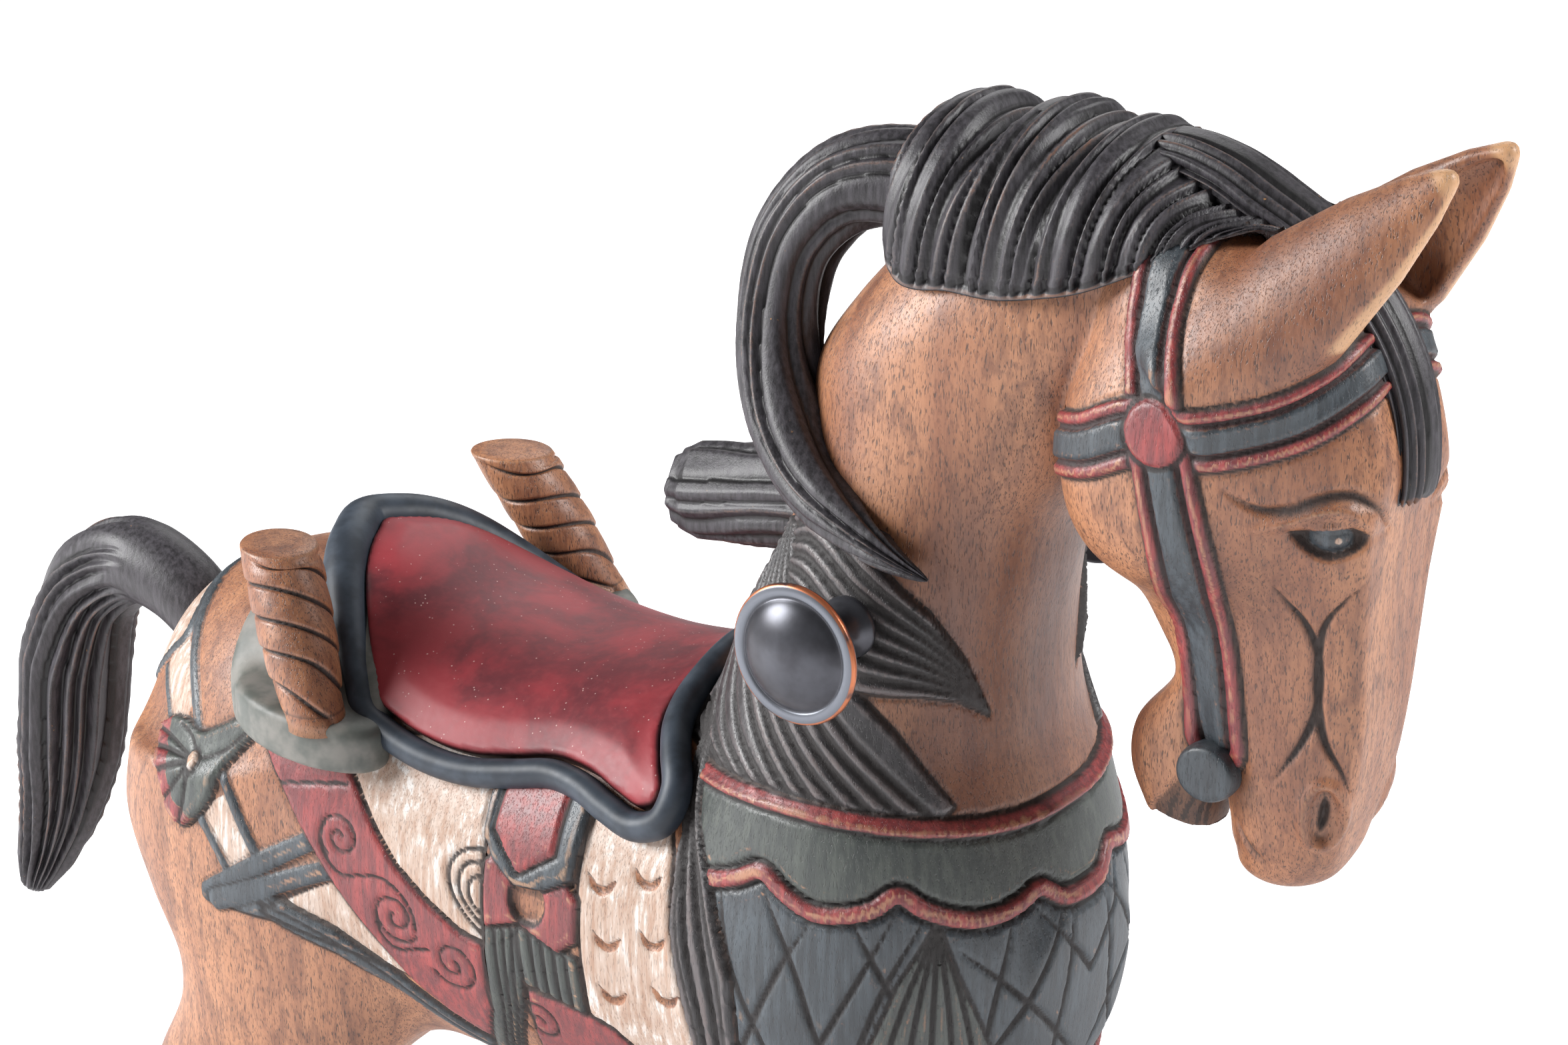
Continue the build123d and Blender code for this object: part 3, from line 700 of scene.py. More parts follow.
def carve_neck(c, chest):
    """Flat locks of the mane on the side of the neck."""
    lower_edge = [(a, float(RING_TOP(a)) + 0.6) for a in (150, 130, 110, 90, 70, 55, 42)]
    lock_c = area(chest, LOCK_C[0] + lower_edge[::-1] + LOCK_C[1][::-1])
    c.lay("black", lock_c, 1.6, 1.2, 1.1)
    for share in np.linspace(0.02, 0.95, 14):  # strands that sweep down and forward to the ring
        start = [np.interp(share, [0, 0.6, 1], places) for places in ([156, 120, 106], [282, 334, 340])]
        start = np.array(start)
        end = np.array([130 - 88 * share, 281.0])
        bend = (start + end) / 2 + np.array([9, -8]) * (1.15 - share)
        c.line(chest, spline([start, bend, end], 30), 1.4, 1.4, lock_c)
    lock_b = area(chest, LOCK_B[0] + LOCK_B[1][::-1])
    c.lay("black", lock_b, 2.6, 1.2, 1.3)
    for share in np.linspace(0, 1, 8)[1:-1]:
        c.line(chest, between(*LOCK_B, share), 1.4, 1.4, lock_b)


# ---- ornaments of the head, as paths in space ----------------------------------------------------
def on_head(path, count=None):
    """A smooth path moved onto the head's surface."""
    points = spline(path, count)
    for _ in range(8):
        value = full_head(points)
        slope = np.stack([(full_head(points + d) - full_head(points - d)) / 0.4 for d in np.eye(3) * 0.2], 1)
        steep = np.maximum(np.einsum("ij,ij->i", slope, slope), 0.2)
        points = points - slope * (value / steep)[:, None] * 0.8
    return points


CROWN_STRAP = [(166, -8, 418), (165, -17, 415), (164.5, -24, 408), (165, -28, 400), (166.5, -31, 393),
               (168, -32, 386), (169, -32, 379)]
REAR_STRAP = [(169, -32, 379), (161, -32, 377), (150, -31, 372), (140, -29, 370), (134, -27, 369)]
BROW_STRAP = [(169, -32, 379), (178, -31, 379.5), (187, -29, 381.5), (196, -25, 385), (203, -18, 390.5),
              (206, -10, 394.5), (208, -3, 396)]
CHEEK_STRAP = [(169, -32, 379), (171.5, -30, 368), (174, -27, 353), (173.5, -22, 336), (174.5, -18, 322),
               (175, -16, 306)]
ROSETTE, BIT = (169, -32, 379), (175.5, -15, 299.5)


def from_above(points):
    """Flat coordinates that see the top and the side of the head equally."""
    return np.stack([points[:, 0], (points[:, 1] + points[:, 2]) * 0.707], 1)


def carve_head(c, points):
    """Bridle, eye, lines of the face, nostril and mouth."""
    side = right_side(points)

    def along(path, ends=0.0, count=None):
        return path_distance(side, on_head(path, count), ends)

    for path, first_width, last_width in (
            (CROWN_STRAP, 7.2, 7.2), (REAR_STRAP, 7.2, 6.8), (BROW_STRAP, 7.0, 6.2), (CHEEK_STRAP, 7.0, 8.4)):
        ends = np.array([path[0], path[-1]], float)
        share = np.clip((side - ends[0]) @ (ends[1] - ends[0]) / np.sum((ends[1] - ends[0]) ** 2), 0, 1)
        half_width = first_width + (last_width - first_width) * share
        if path is CROWN_STRAP:  # it runs over the hollow behind the ear, so it is measured flat, from above
            centre = path_distance(from_above(side), from_above(spline(path, 40)))
        else:
            centre = along(path, count=40)
        c.clear(centre - half_width)
        c.paint("red", centre - half_width, 1.4, 0.7, 0.6)
        inner = centre - half_width * 0.42
        c.paint("blue", inner, 0.3, 0.6)
        c.groove(np.abs(inner - 0.75), 1.1, 1.5)
    rosette = np.linalg.norm(side - on_head([ROSETTE] * 2, 2)[0], axis=1) - 7.2
    c.lay("red", rosette, 2.6, 1.4, 1.0)
    # brow ridge and eye
    brow = along([(181, -30, 371), (186, -28, 367.5), (191, -26, 365.5), (196, -24, 366), (201, -22, 368.5),
                  (206, -19, 369.5), (210, -16, 367), (211.5, -12, 363), (212, -8, 358.5)], 1.9)
    c.groove(brow, 1.9, 1.4, 0.75)
    lid = along([(188, -27, 360.5), (194, -25, 363), (200, -23, 366), (206, -20, 366.4), (210, -16, 362)],
                2.5)
    c.up += 1.7 * np.clip(1 - lid / 3.0, 0, 1)
    eye_line = on_head([(195, -24, 361.5), (199, -23, 356.8), (203, -21, 354.8), (207, -19, 356.3),
                        (211.5, -16, 360.3)])
    top_line = on_head([(195, -24, 361.5), (200, -23, 362), (204, -21, 362.8), (208, -18.5, 362.6),
                        (211.5, -16, 360.3)])
    outline = np.vstack([eye_line, top_line[::-1]])[:, [0, 2]]
    eye = np.where(side[:, 0] > 190, area(side[:, [0, 2]], outline), FAR)
    eye = np.where(side[:, 1] > -9, FAR, eye)
    ball_middle = on_head([(203.8, -21, 359.9)] * 2, 2)[0]
    ball = np.linalg.norm((side - ball_middle) / np.array([5.6, 4.0, 3.7]), axis=1)
    c.down = np.maximum(c.down, 2.4 * step(eye, 0.5, -1.5))
    c.dark = np.maximum(c.dark, 0.9 * step(eye, 0.4, -0.5))
    c.up += 2.2 * np.clip(1 - ball**2, 0, 1)
    c.paint("blue", np.maximum(eye + 0.3, (ball - 1) * 2.5))
    c.dark = np.where((ball < 0.92) & (eye < -0.2), 0.1, c.dark)
    c.paint("cream", np.linalg.norm(side - on_head([(204.8, -20, 359.8)] * 2, 2)[0], axis=1) - 0.7)
    # lines down the face
    for path in ([(190, -27, 351), (194, -24, 345), (198, -20, 340), (200, -17, 334), (200.5, -16, 328),
                  (200, -16, 320), (197, -15, 312), (193, -15, 305), (187, -15, 296.5)],
                 [(210, -15, 352), (205, -16, 346), (201.5, -17, 340), (200.5, -17, 334), (200.5, -16, 320),
                  (202, -15, 312), (205, -13, 306), (207, -9, 297)]):
        c.groove(along(path, 1.3), 1.3, 1.5)
    nostril = along([(201.3, -12, 299.5), (201.3, -12, 295), (200.8, -12, 289.5)], 1.2)
    c.up += 1.3 * np.clip(1 - np.abs(nostril - 4.4) / 2.0, 0, 1)
    c.down = np.maximum(c.down, 0.9 * step(nostril, 4.0, 2.0))
    c.groove(nostril, 1.9, 2.8)
    # mouth: the edge of the lip, and the grooved inside of the jaw, darkened inside as painted shade
    c.groove(along([(178, -13, 289), (184, -13, 283), (190, -13, 278.5)], 0.9), 0.9, 0.8, 0.6)
    mouth = area(side[:, [0, 2]], [(169, 298), (158, 284.5), (158, 270), (176, 270), (176, 298)])
    mouth = np.where(side[:, 0] < 174.5, mouth, FAR)
    c.down = np.maximum(c.down, 1.0 * step(mouth, 0.5, -0.5))
    # painted shade inside the mouth, kept with the dark of the grooves
    c.dark = np.maximum(c.dark, 0.62 * step(mouth, 0.4, -0.6))
    for k in range(4):
        x = 162 + 3.0 * k
        c.groove(along([(x + 3.5, -7, 292 - 0.6 * k), (x + 1.2, -7, 286), (x - 1.4, -5, 279)], 0.8), 0.9, 1.0)


def bit_disc():
    """The round boss at the end of the right cheek strap, facing out."""
    middle = np.array([BIT[0], 0.0, BIT[2]])
    rings = [(0.1, 0), (6.6, 0), (6.9, 2.0), (6.9, 7.0), (6.5, 7.8), (5.6, 8.1), (3, 8.3), (0.1, 8.4)]
    turn = np.arange(60) * 2 * pi / 60
    points = [middle + np.stack([r * np.cos(turn), np.full(60, BIT[1] + 4.5 - h), r * 0.92 * np.sin(turn)], 1)
              for r, h in spline(rings, 40)]
    return Carver(sheet_grid(points)).paint_all("blue").finish()


# ---- saddle --------------------------------------------------------------------------------------
SADDLE_LOOP = SADDLE_LINE[::-1] + [(x, -s) for x, s in SADDLE_LINE[1:-1]]  # from the front


def over_barrel(path, lift):
    """Points in space over the barrel at (along X, round the barrel), lift mm out of its surface."""
    path = np.asarray(path, float)
    turn = path[:, 1] / BARREL_ROUND
    away = np.stack([np.zeros(len(turn)), -np.sin(turn), np.cos(turn)], 1)
    near, far = np.full(len(turn), 20.0), np.full(len(turn), 90.0)
    for _ in range(30):
        middle = (near + far) / 2
        points = np.stack([path[:, 0], middle * away[:, 1], BARREL_Z + middle * away[:, 2]], 1)
        inside = torso(points) < lift
        near, far = np.where(inside, middle, near), np.where(inside, far, middle)
    return points


def cantle(x, s):
    """How much higher the back of the seat stands in the middle."""
    return 5.0 * step(x, -30, -66) * step(np.abs(s), 46, 8)


def seat_back(x):
    """1 round the back of the seat, where the roll is broader, and 0 in front."""
    return step(x, -48, -72)


def seat_field(P):
    """The seat: a crowned layer over the barrel inside the roll."""
    x = P[:, 0]
    flat = on_barrel(P)
    skin = torso(P)
    inside = area(flat, SADDLE_LOOP, curved=True) + 3.6 + 1.0 * seat_back(x)
    crown = 5.4 + 1.8 * step(inside, 0, -FAR) + cantle(x, flat[:, 1])
    return smax(smax(skin - crown, inside, 2.2), -skin - 3.0, 1.0)


PAD_OUTLINE = [(-89, 30), (-88, 42), (-85, 52), (-78, 60), (-70, 64.5), (-60, 65), (-51, 63), (-43, 58),
               (-38, 50), (-44, 36), (-62, 20)]
POST_FOOT = np.array([-51.0, -54.0, 270.5])
POST_TOP = np.array([-70.0, -44.0, 307.0])
POST_TURN = 26.0  # three grooves wind round a post, rising this much in one turn


def pad_field(P):
    """The two side pads, each with the ledge that its post stands on."""
    Q = right_side(P)
    x, y, z = Q.T
    flat = on_barrel(P)
    skin = torso(P)
    cover = smax(skin - 5.5, area(flat, PAD_OUTLINE, curved=True), 2.5)
    ledge = (np.hypot((x + 56) / 23, (y + 49.5) / 12.5) - 1) * 12.5
    ledge = smax(ledge, np.abs(z - 264.5 - 0.10 * (-56 - x)) - 6.2, 3.0)
    return smax(smin(cover, ledge, 3.0), -skin - 3.0, 1.0)


def ring_frames(path):
    """Directions along, across and up for each point of a path, turning as little as possible."""
    path = np.asarray(path, float)
    along = np.gradient(path, axis=0)
    along /= np.linalg.norm(along, axis=1)[:, None]
    up = np.array([0, 0, 1.0]) if abs(along[0][2]) < 0.9 else np.array([-1.0, 0, 0])
    ups = []
    for a in along:
        up = up - (up @ a) * a
        up = up / np.linalg.norm(up)
        ups.append(up)
    ups = np.array(ups)
    return along, np.cross(along, ups), ups


def strand(path, across, upward, around, flutes=None, closed=False):
    """A swept strand with half sizes across and upward; flutes(share, angle) gives its (depth, dark)."""
    path = np.asarray(path, float)
    m = len(path)
    _, side, up = ring_frames(path)
    if closed:
        along = np.roll(path, -1, 0) - np.roll(path, 1, 0)
        along /= np.linalg.norm(along, axis=1)[:, None]
        up = np.stack([np.zeros(m), path[:, 1], path[:, 2] - BARREL_Z], 1)
        up -= np.einsum("ij,ij->i", up, along)[:, None] * along
        up /= np.linalg.norm(up, axis=1)[:, None]
        side = np.cross(along, up)
    share, angle = np.meshgrid(np.linspace(0, 1, m), np.arange(around) * 2 * pi / around, indexing="ij")
    if not closed:
        across, upward = (np.interp(share, *np.array(v).T) for v in (across, upward))
    else:
        across, upward = (np.repeat(v[:, None], around, 1) for v in (across, upward))
    points = path[:, None] + side[:, None] * (across * np.cos(angle))[..., None]
    points = points + up[:, None] * (upward * np.sin(angle))[..., None]
    if closed:
        i, j = np.meshgrid(np.arange(m), np.arange(around), indexing="ij")
        row, next_row, next_j = i * around, (i + 1) % m * around, (j + 1) % around
        quads = np.stack([row + j, row + next_j, next_row + next_j, next_row + j], -1).reshape(-1, 4)
        surface = Surface(points.reshape(-1, 3), quads).face_out()
    else:
        surface = sheet_grid(points)
    depth, dark = (flutes(share, angle) if flutes else (np.zeros(share.shape),) * 2)
    c = Carver(surface)
    c.down, c.dark = (grid_values(v, 0 if closed else 2) for v in (depth, dark))
    return c


def ridges(place):
    """The number of the ridge that a place is on, and 0 in the groove beside it to 1 on its top."""
    which = np.floor(place)
    return which, 1 - np.abs(2 * (place - which) - 1)


def fluting(count, depth, seed, start=0.0, end=1.0, sway=0.35, sharp=1.5):
    """Long grooves round a strand, of uneven width, fading out at its ends."""
    rng = np.random.default_rng(seed)
    a, b, d = rng.uniform(0, 2 * pi, 3)

    def flutes(share, angle):
        warped = angle + 0.16 * np.sin(2 * angle + a) + 0.09 * np.sin(5 * angle + b)
        place = warped * count / (2 * pi) + sway * np.sin(2 * pi * share * 1.3 + d) * np.sin(angle + b)
        which, gap = ridges(place)
        uneven = 0.75 + 0.25 * np.sin(which * 2.4 + a)
        fade = step(share, start, start + 0.12) * step(share, end + 0.02, end - 0.1)
        return depth * uneven * fade * (1 - gap) ** sharp, fade * np.clip(1.1 - gap * 2.6, 0, 1)
    return flutes


# ---- mane crest ----------------------------------------------------------------------------------
CREST_TOP = smooth_curve([91, 94, 99, 107, 115, 126, 138, 146, 156, 165, 173, 182, 190],
                         [419, 429, 433.5, 436, 433.2, 437, 434.5, 435, 431, 426.5, 423, 420, 415])
CREST_LOW = smooth_curve([91, 97, 115, 142, 160, 175, 183, 190], [408, 404, 403, 406, 412, 418, 419, 414])
CREST_HALF = smooth_curve([91, 94, 99, 110, 130, 150, 165, 178, 190],
                          [16, 22, 26.5, 28.5, 29, 27, 22.5, 16, 9])


def crest_surface():
    """The hair over the crown: a bent half tube with strands that sweep down and forward."""
    x = np.linspace(91, 190, 200)
    turn = np.linspace(-1, 1, 160) * radians(106)
    X, T = np.meshgrid(x, turn, indexing="ij")
    top, low, half = CREST_TOP(X), CREST_LOW(X), CREST_HALF(X)
    y = half * np.sign(np.sin(T)) * np.abs(np.sin(T)) ** 0.92
    z = low + (top - low) * np.where(np.cos(T) > 0, np.abs(np.cos(T)) ** 0.82, -0.55 * np.abs(np.cos(T)))
    rings = np.stack([X, y, z], -1)
    surface = sheet_grid(rings)
    c = Carver(surface)
    down_side = np.clip(np.abs(T) / radians(95), 0, 1)
    shift = 7 + 13 * step(X, 148, 182)
    lean = 0.25 * down_side + 0.75 * down_side**2.2 - 0.05 * np.sin(2 * pi * down_side)
    start = X + shift * lean
    place = start / 4.15 + 0.18 * np.sin(start * 0.83) + 0.12 * np.sin(start * 0.31 + 3 * down_side)
    which, gap = ridges(place)
    uneven = 0.7 + 0.3 * np.sin(which * 2.3 + 1)
    valley = np.exp(-((start - 116) / 3.0) ** 2) + np.exp(-((start - 138.5) / 3.0) ** 2)
    wanders = 0.75 + 0.25 * np.sin(start * 1.7 + 5 * down_side)
    fade = step(np.abs(T), radians(106), radians(100)) * step(X, 91, 95)
    depth = 3.7 * uneven * wanders * (1 - gap) ** 1.15 + 1.8 * valley * step(down_side, 1.0, 0.3)
    c.down = grid_values(depth * fade)
    c.dark = grid_values(fade * np.clip(1.15 - gap * 2.4, 0, 1))
    return c.paint_all("black").finish(0.16)


FORELOCK = [(143, 0, 424), (151, 0, 427.5), (165, 0, 426), (176, 0, 421), (187, 0, 415), (196, 0, 407),
            (204, 0, 397), (209.5, 0, 385), (211.5, 0, 374), (211.5, 0, 366), (211.2, 0, 364.5)]
ARCH_LOCK = [(100, -1, 411), (90, -3, 414), (75, -6, 411.5), (64.5, -9.5, 400), (61.5, -14, 382),
             (66.5, -20, 364), (79, -27.5, 350), (97, -34, 342), (113, -37, 337.5), (117, -37, 336.5)]
STUB_LOCK = [(74, 0, 336.5), (62, 0, 334), (50, 0, 331.5), (36, 0, 329.5), (26, 0, 328), (22.5, 0, 327.6),
             (21.5, 0, 327.5)]
TAIL = [(-132, 0, 248), (-141, 0, 256), (-152, 0, 263.5), (-167, 0, 267), (-184, 0, 258), (-195, 0, 236),
        (-200, 0, 210), (-206, 0, 187), (-214, 0, 168), (-221, 0, 154), (-222, 0, 151.5)]


def hair_pieces():
    """The forelock, the free arched lock, the cut lock and the tail."""
    forelock = strand(
        spline(FORELOCK, 120), [(0, 3), (.1, 10), (.3, 11.5), (.6, 9.5), (.95, 8.6), (.985, 8.2), (1, 7.2)],
        [(0, 2), (.1, 6), (.4, 5.5), (.95, 3.6), (.985, 3.2), (1, 2)], 112,
        fluting(17, 1.9, 3, -0.1, 1.1, 0.1, 1.3))
    arch = strand(
        spline(ARCH_LOCK, 180), [(0, 11.5), (.2, 12), (.62, 11), (.78, 9.5), (.9, 6), (.985, 1.5), (1, .3)],
        [(0, 12), (.2, 11), (.6, 9.5), (.78, 7.0), (.9, 4.0), (.985, 1.2), (1, .3)], 120,
        fluting(12, 2.0, 8, -0.1, 1.05, 0.8, 1.3))
    stub = strand(
        spline(STUB_LOCK, 80), [(0, 13), (.5, 13), (.85, 12.2), (.95, 10), (.99, 6.5), (1, 4)],
        [(0, 11.5), (.4, 12.8), (.85, 12), (.95, 10), (.99, 6.5), (1, 4)], 120,
        fluting(13, 1.9, 21, -0.1, 0.99, 0.3, 1.3))
    tail = strand(
        spline(TAIL, 220), [(0, 9), (.08, 10), (.2, 11.2), (.33, 13.5), (.5, 16), (.68, 15.5), (.82, 12.5),
                            (.93, 8.5), (.985, 5), (1, 2)],
        [(0, 9), (.08, 10), (.2, 11.5), (.3, 13.5), (.5, 16), (.68, 15.5), (.82, 12), (.93, 8), (.985, 5),
         (1, 2)], 176, fluting(17, 4.2, 5, 0.2, 1.0, 0.5, 1.0))
    locks = [lock.paint_all("black").finish(0.14) for lock in (forelock, arch, stub)]
    return locks + [tail.paint_all("black").finish(0.2)]


def post_surface(side):
    """A turned post of one side, cut round with rising grooves and level on top."""
    foot, top = POST_FOOT * (1, side, 1), POST_TOP * (1, side, 1)
    rise = top - foot
    length = np.linalg.norm(rise)
    share = np.concatenate([[-0.1], np.linspace(0, 0.965, 110), [0.982, 0.992, 0.996, 1.0]])
    path = foot + rise * share[:, None]
    radius = smooth_curve([-0.1, 0, 0.3, 0.65, 0.85, 1.0], [7.4, 7.5, 9.2, 9.8, 9.8, 9.4])(share)
    radius[-4:] *= 0.99, 0.95, 0.6, 0.1  # a rounded edge, then the flat top
    around = 110
    _, across, up = ring_frames(path)
    S, A = np.meshgrid(share, np.arange(around) * 2 * pi / around, indexing="ij")
    R = np.repeat(radius[:, None], around, 1)
    points = path[:, None] + across[:, None] * (R * np.cos(A))[..., None]
    points = points + up[:, None] * (R * np.sin(A))[..., None]
    out = points - path[:, None]
    lean = -out[..., 2] / (rise[2] / length)  # both ends are cut level, not square to the post
    points = points + (rise / length) * (lean * (step(S, 0.75, 0.97) + step(S, 0.25, 0.0)))[..., None]
    c = Carver(sheet_grid(points))
    turn = np.arctan2(out[..., 1], out[..., 0]) / (2 * pi)
    place = (S * length + POST_TURN * turn) / (POST_TURN / 3) + 0.1 + 0.06 * np.sin(3 * S + 4 * turn)
    which = np.floor(place)
    within = (place - which) * POST_TURN / 3  # up from the groove below
    gap = np.minimum(within, POST_TURN / 3 - within)
    fade = step(S, 0.975, 0.90) * step(S, -0.05, 0.05)
    depth = fade * (1.2 * np.clip(1 - gap / 0.9, 0, 1) + 0.4 * step(within, POST_TURN / 9, POST_TURN / 3))
    c.down = grid_values(depth)
    c.dark = grid_values(fade * np.clip(1.35 - gap / 0.65, 0, 1))
    return c.finish(0.2)


def flip_y(surface):
    """The same surface on the other side."""
    out = Surface(surface.points * (1, -1, 1), surface.quads, surface.triangles).face_out()
    out.values = {name: v.copy() for name, v in surface.values.items()}
    return out


KNOB_PROFILE = [(0.01, 0), (6.2, 0), (7.2, 0.5), (7.0, 1.8), (5.6, 3.2), (4.9, 6), (4.9, 10), (6.2, 14),
                (9.5, 17.2), (13.6, 19.0), (15.6, 19.7), (16.0, 20.4), (15.9, 21.3), (15.4, 21.8),
                (13.4, 21.9), (13.0, 21.5), (12.6, 21.6), (11.4, 22.9), (8.6, 24.4), (5.0, 25.5),
                (1.8, 25.95), (0.01, 26)]


def knob_surface(low, high):
    """Turned metal knob whose axis is along -Y, in the box of its CAD node."""
    x, z = (low[0] + high[0]) / 2, (low[2] + high[2]) / 2
    foot_y = high[1]
    profile = []
    for a, b in zip(KNOB_PROFILE[:-1], KNOB_PROFILE[1:]):
        profile += [(a[0] + (b[0] - a[0]) * t, a[1] + (b[1] - a[1]) * t) for t in (0, 0.5)]
    profile = np.array(profile + [KNOB_PROFILE[-1]])
    smooth = profile.copy()
    smooth[1:-1] = profile[1:-1] * 0.5 + (profile[:-2] + profile[2:]) * 0.25
    turn = np.arange(80) * 2 * pi / 80
    rings = [np.stack([x + r * np.cos(turn), np.full(80, foot_y - h), z + r * np.sin(turn)], 1)
             for r, h in smooth]
    surface = sheet_grid(rings)
    r = np.hypot(surface.points[:, 0] - x, surface.points[:, 2] - z)
    h = foot_y - surface.points[:, 1]
    surface.values = {"copper": np.where(h > 18.5, step(r, 15.35, 15.6) * step(h, 20.2, 20.9), 0),
                      "ring": np.where(h > 21.3, step(r, 12.9, 13.3) * step(r, 15.7, 15.3), 0)}
    return surface


# ---- materials -----------------------------------------------------------------------------------
def rgb(red, green, blue):
    """A display colour, 0 to 255, as the linear colour that shaders use."""
    def linear(v):
        v /= 255
        return v / 12.92 if v <= 0.04045 else ((v + 0.055) / 1.055) ** 2.4
    return (linear(red), linear(green), linear(blue), 1)


class Shader:
    """Short calls for building a material's nodes."""

    def __init__(self, name):
        self.material = bpy.data.materials.new(name)
        self.material.use_nodes = True
        self.tree = self.material.node_tree
        self.tree.nodes.clear()
        self.place = self.add("TexCoord", out="Object")
        self.mm = self.scaled(self.place, (1000, 1000, 1000))
        self.grain = self.scaled(self.place, (1000, 1000, 70))  # stretched along the upright grain

    def add(self, kind, out=0, settings=None, **inputs):
        node = self.tree.nodes.new("ShaderNode" + kind)
        for key, value in (settings or {}).items():
            setattr(node, key, value)
        for key, value in inputs.items():
            self.put(node.inputs[key.replace("_", " ")], value)
        return node.outputs[out]

    def put(self, socket, value):
        if isinstance(value, bpy.types.NodeSocket):
            self.tree.links.new(value, socket)
        else:
            socket.default_value = value

    def listed(self, kind, values, settings=None, out=0):
        """A node whose inputs are given by their numbers."""
        node = self.tree.nodes.new("ShaderNode" + kind)
        for key, value in (settings or {}).items():
            setattr(node, key, value)
        for index, value in values.items():
            self.put(node.inputs[index], value)
        return node.outputs[out] if node.outputs else None

    def scaled(self, vector, by):
        return self.listed("VectorMath", {0: vector, 1: by}, {"operation": "MULTIPLY"})

    def times(self, a, b):
        return self.math("MULTIPLY", a, b)

    def math(self, operation, a, b=0.0, clamp=False):
        return self.listed("Math", {0: a, 1: b}, {"operation": operation, "use_clamp": clamp})

    def mix(self, factor, a, b, share=None):
        """From a to b by the factor, or by that share of it."""
        if share is not None:
            factor = self.times(factor, share)
        return self.listed("Mix", {0: factor, 6: a, 7: b}, {"data_type": "RGBA"}, out=2)

    def noise(self, vector, scale, detail=3.0, rough=0.55, bend=0.0):
        return self.add("TexNoise", Vector=vector, Scale=scale, Detail=detail, Roughness=rough,
                        Distortion=bend)

    def between(self, value, low, high):
        """0 at low and 1 at high, smoothly; the other way round if low is above high."""
        turned = low > high
        return self.add("MapRange", settings={"interpolation_type": "SMOOTHSTEP"}, Value=value,
                        From_Min=min(low, high), From_Max=max(low, high), To_Min=float(turned),
                        To_Max=float(not turned))

    def attribute(self, name):
        return self.add("Attribute", out="Fac",
                        settings={"attribute_name": name, "attribute_type": "GEOMETRY"})

    def surface(self, colour, roughness, height, bump_mm=0.25, strength=0.6, **shader_inputs):
        bump = self.add("Bump", Height=height, Distance=bump_mm * MM, Strength=strength)
        shader = self.add("BsdfPrincipled", Base_Color=colour, Roughness=roughness, Normal=bump,
                          **shader_inputs)
        self.listed("OutputMaterial", {0: shader})
        return self.material


WOOD_TONES = [rgb(182, 126, 89), rgb(148, 94, 64), rgb(102, 60, 42), rgb(52, 31, 25)]


def wood(s, tone=0.0):
    """Warm brown wood: broad bands, short dark flecks, upright fibres and pores. Returns (colour, height)."""
    bands = s.noise(s.grain, 0.055, 4.0, 0.6, 0.6)
    figure = s.noise(s.scaled(s.place, (1000, 1000, 330)), 0.20, 3.0, 0.6, 0.8)
    flecks = s.noise(s.scaled(s.place, (1000, 1000, 330)), 1.15, 2.0, 0.6, 0.5)
    fibres = s.noise(s.grain, 0.9, 3.0, 0.65)
    pores = s.noise(s.scaled(s.place, (1000, 1000, 170)), 3.0, 1.0, 0.5)
    colour = s.mix(s.between(bands, 0.36 + tone, 0.66 + tone), WOOD_TONES[0], WOOD_TONES[1])
    colour = s.mix(s.between(figure, 0.44, 0.70), colour, WOOD_TONES[2], 0.6)
    colour = s.mix(s.between(flecks, 0.50, 0.66), colour, WOOD_TONES[2], 0.5)
    colour = s.mix(s.between(fibres, 0.48, 0.72), colour, WOOD_TONES[2], 0.4)
    pore = s.between(pores, 0.58, 0.68)
    colour = s.mix(pore, colour, WOOD_TONES[3], 0.6)
    height = s.math("SUBTRACT", s.times(fibres, 0.5), s.times(pore, 0.8))
    return colour, height


PAINT_TONES = {  # lighter, darker
    "red": (rgb(160, 62, 60), rgb(108, 38, 42)), "blue": (rgb(68, 77, 84), rgb(38, 45, 51)),
    "green": (rgb(76, 82, 76), rgb(48, 54, 52)), "cream": (rgb(200, 180, 166), rgb(176, 146, 126)),
    "black": (rgb(62, 59, 62), rgb(32, 30, 32))}


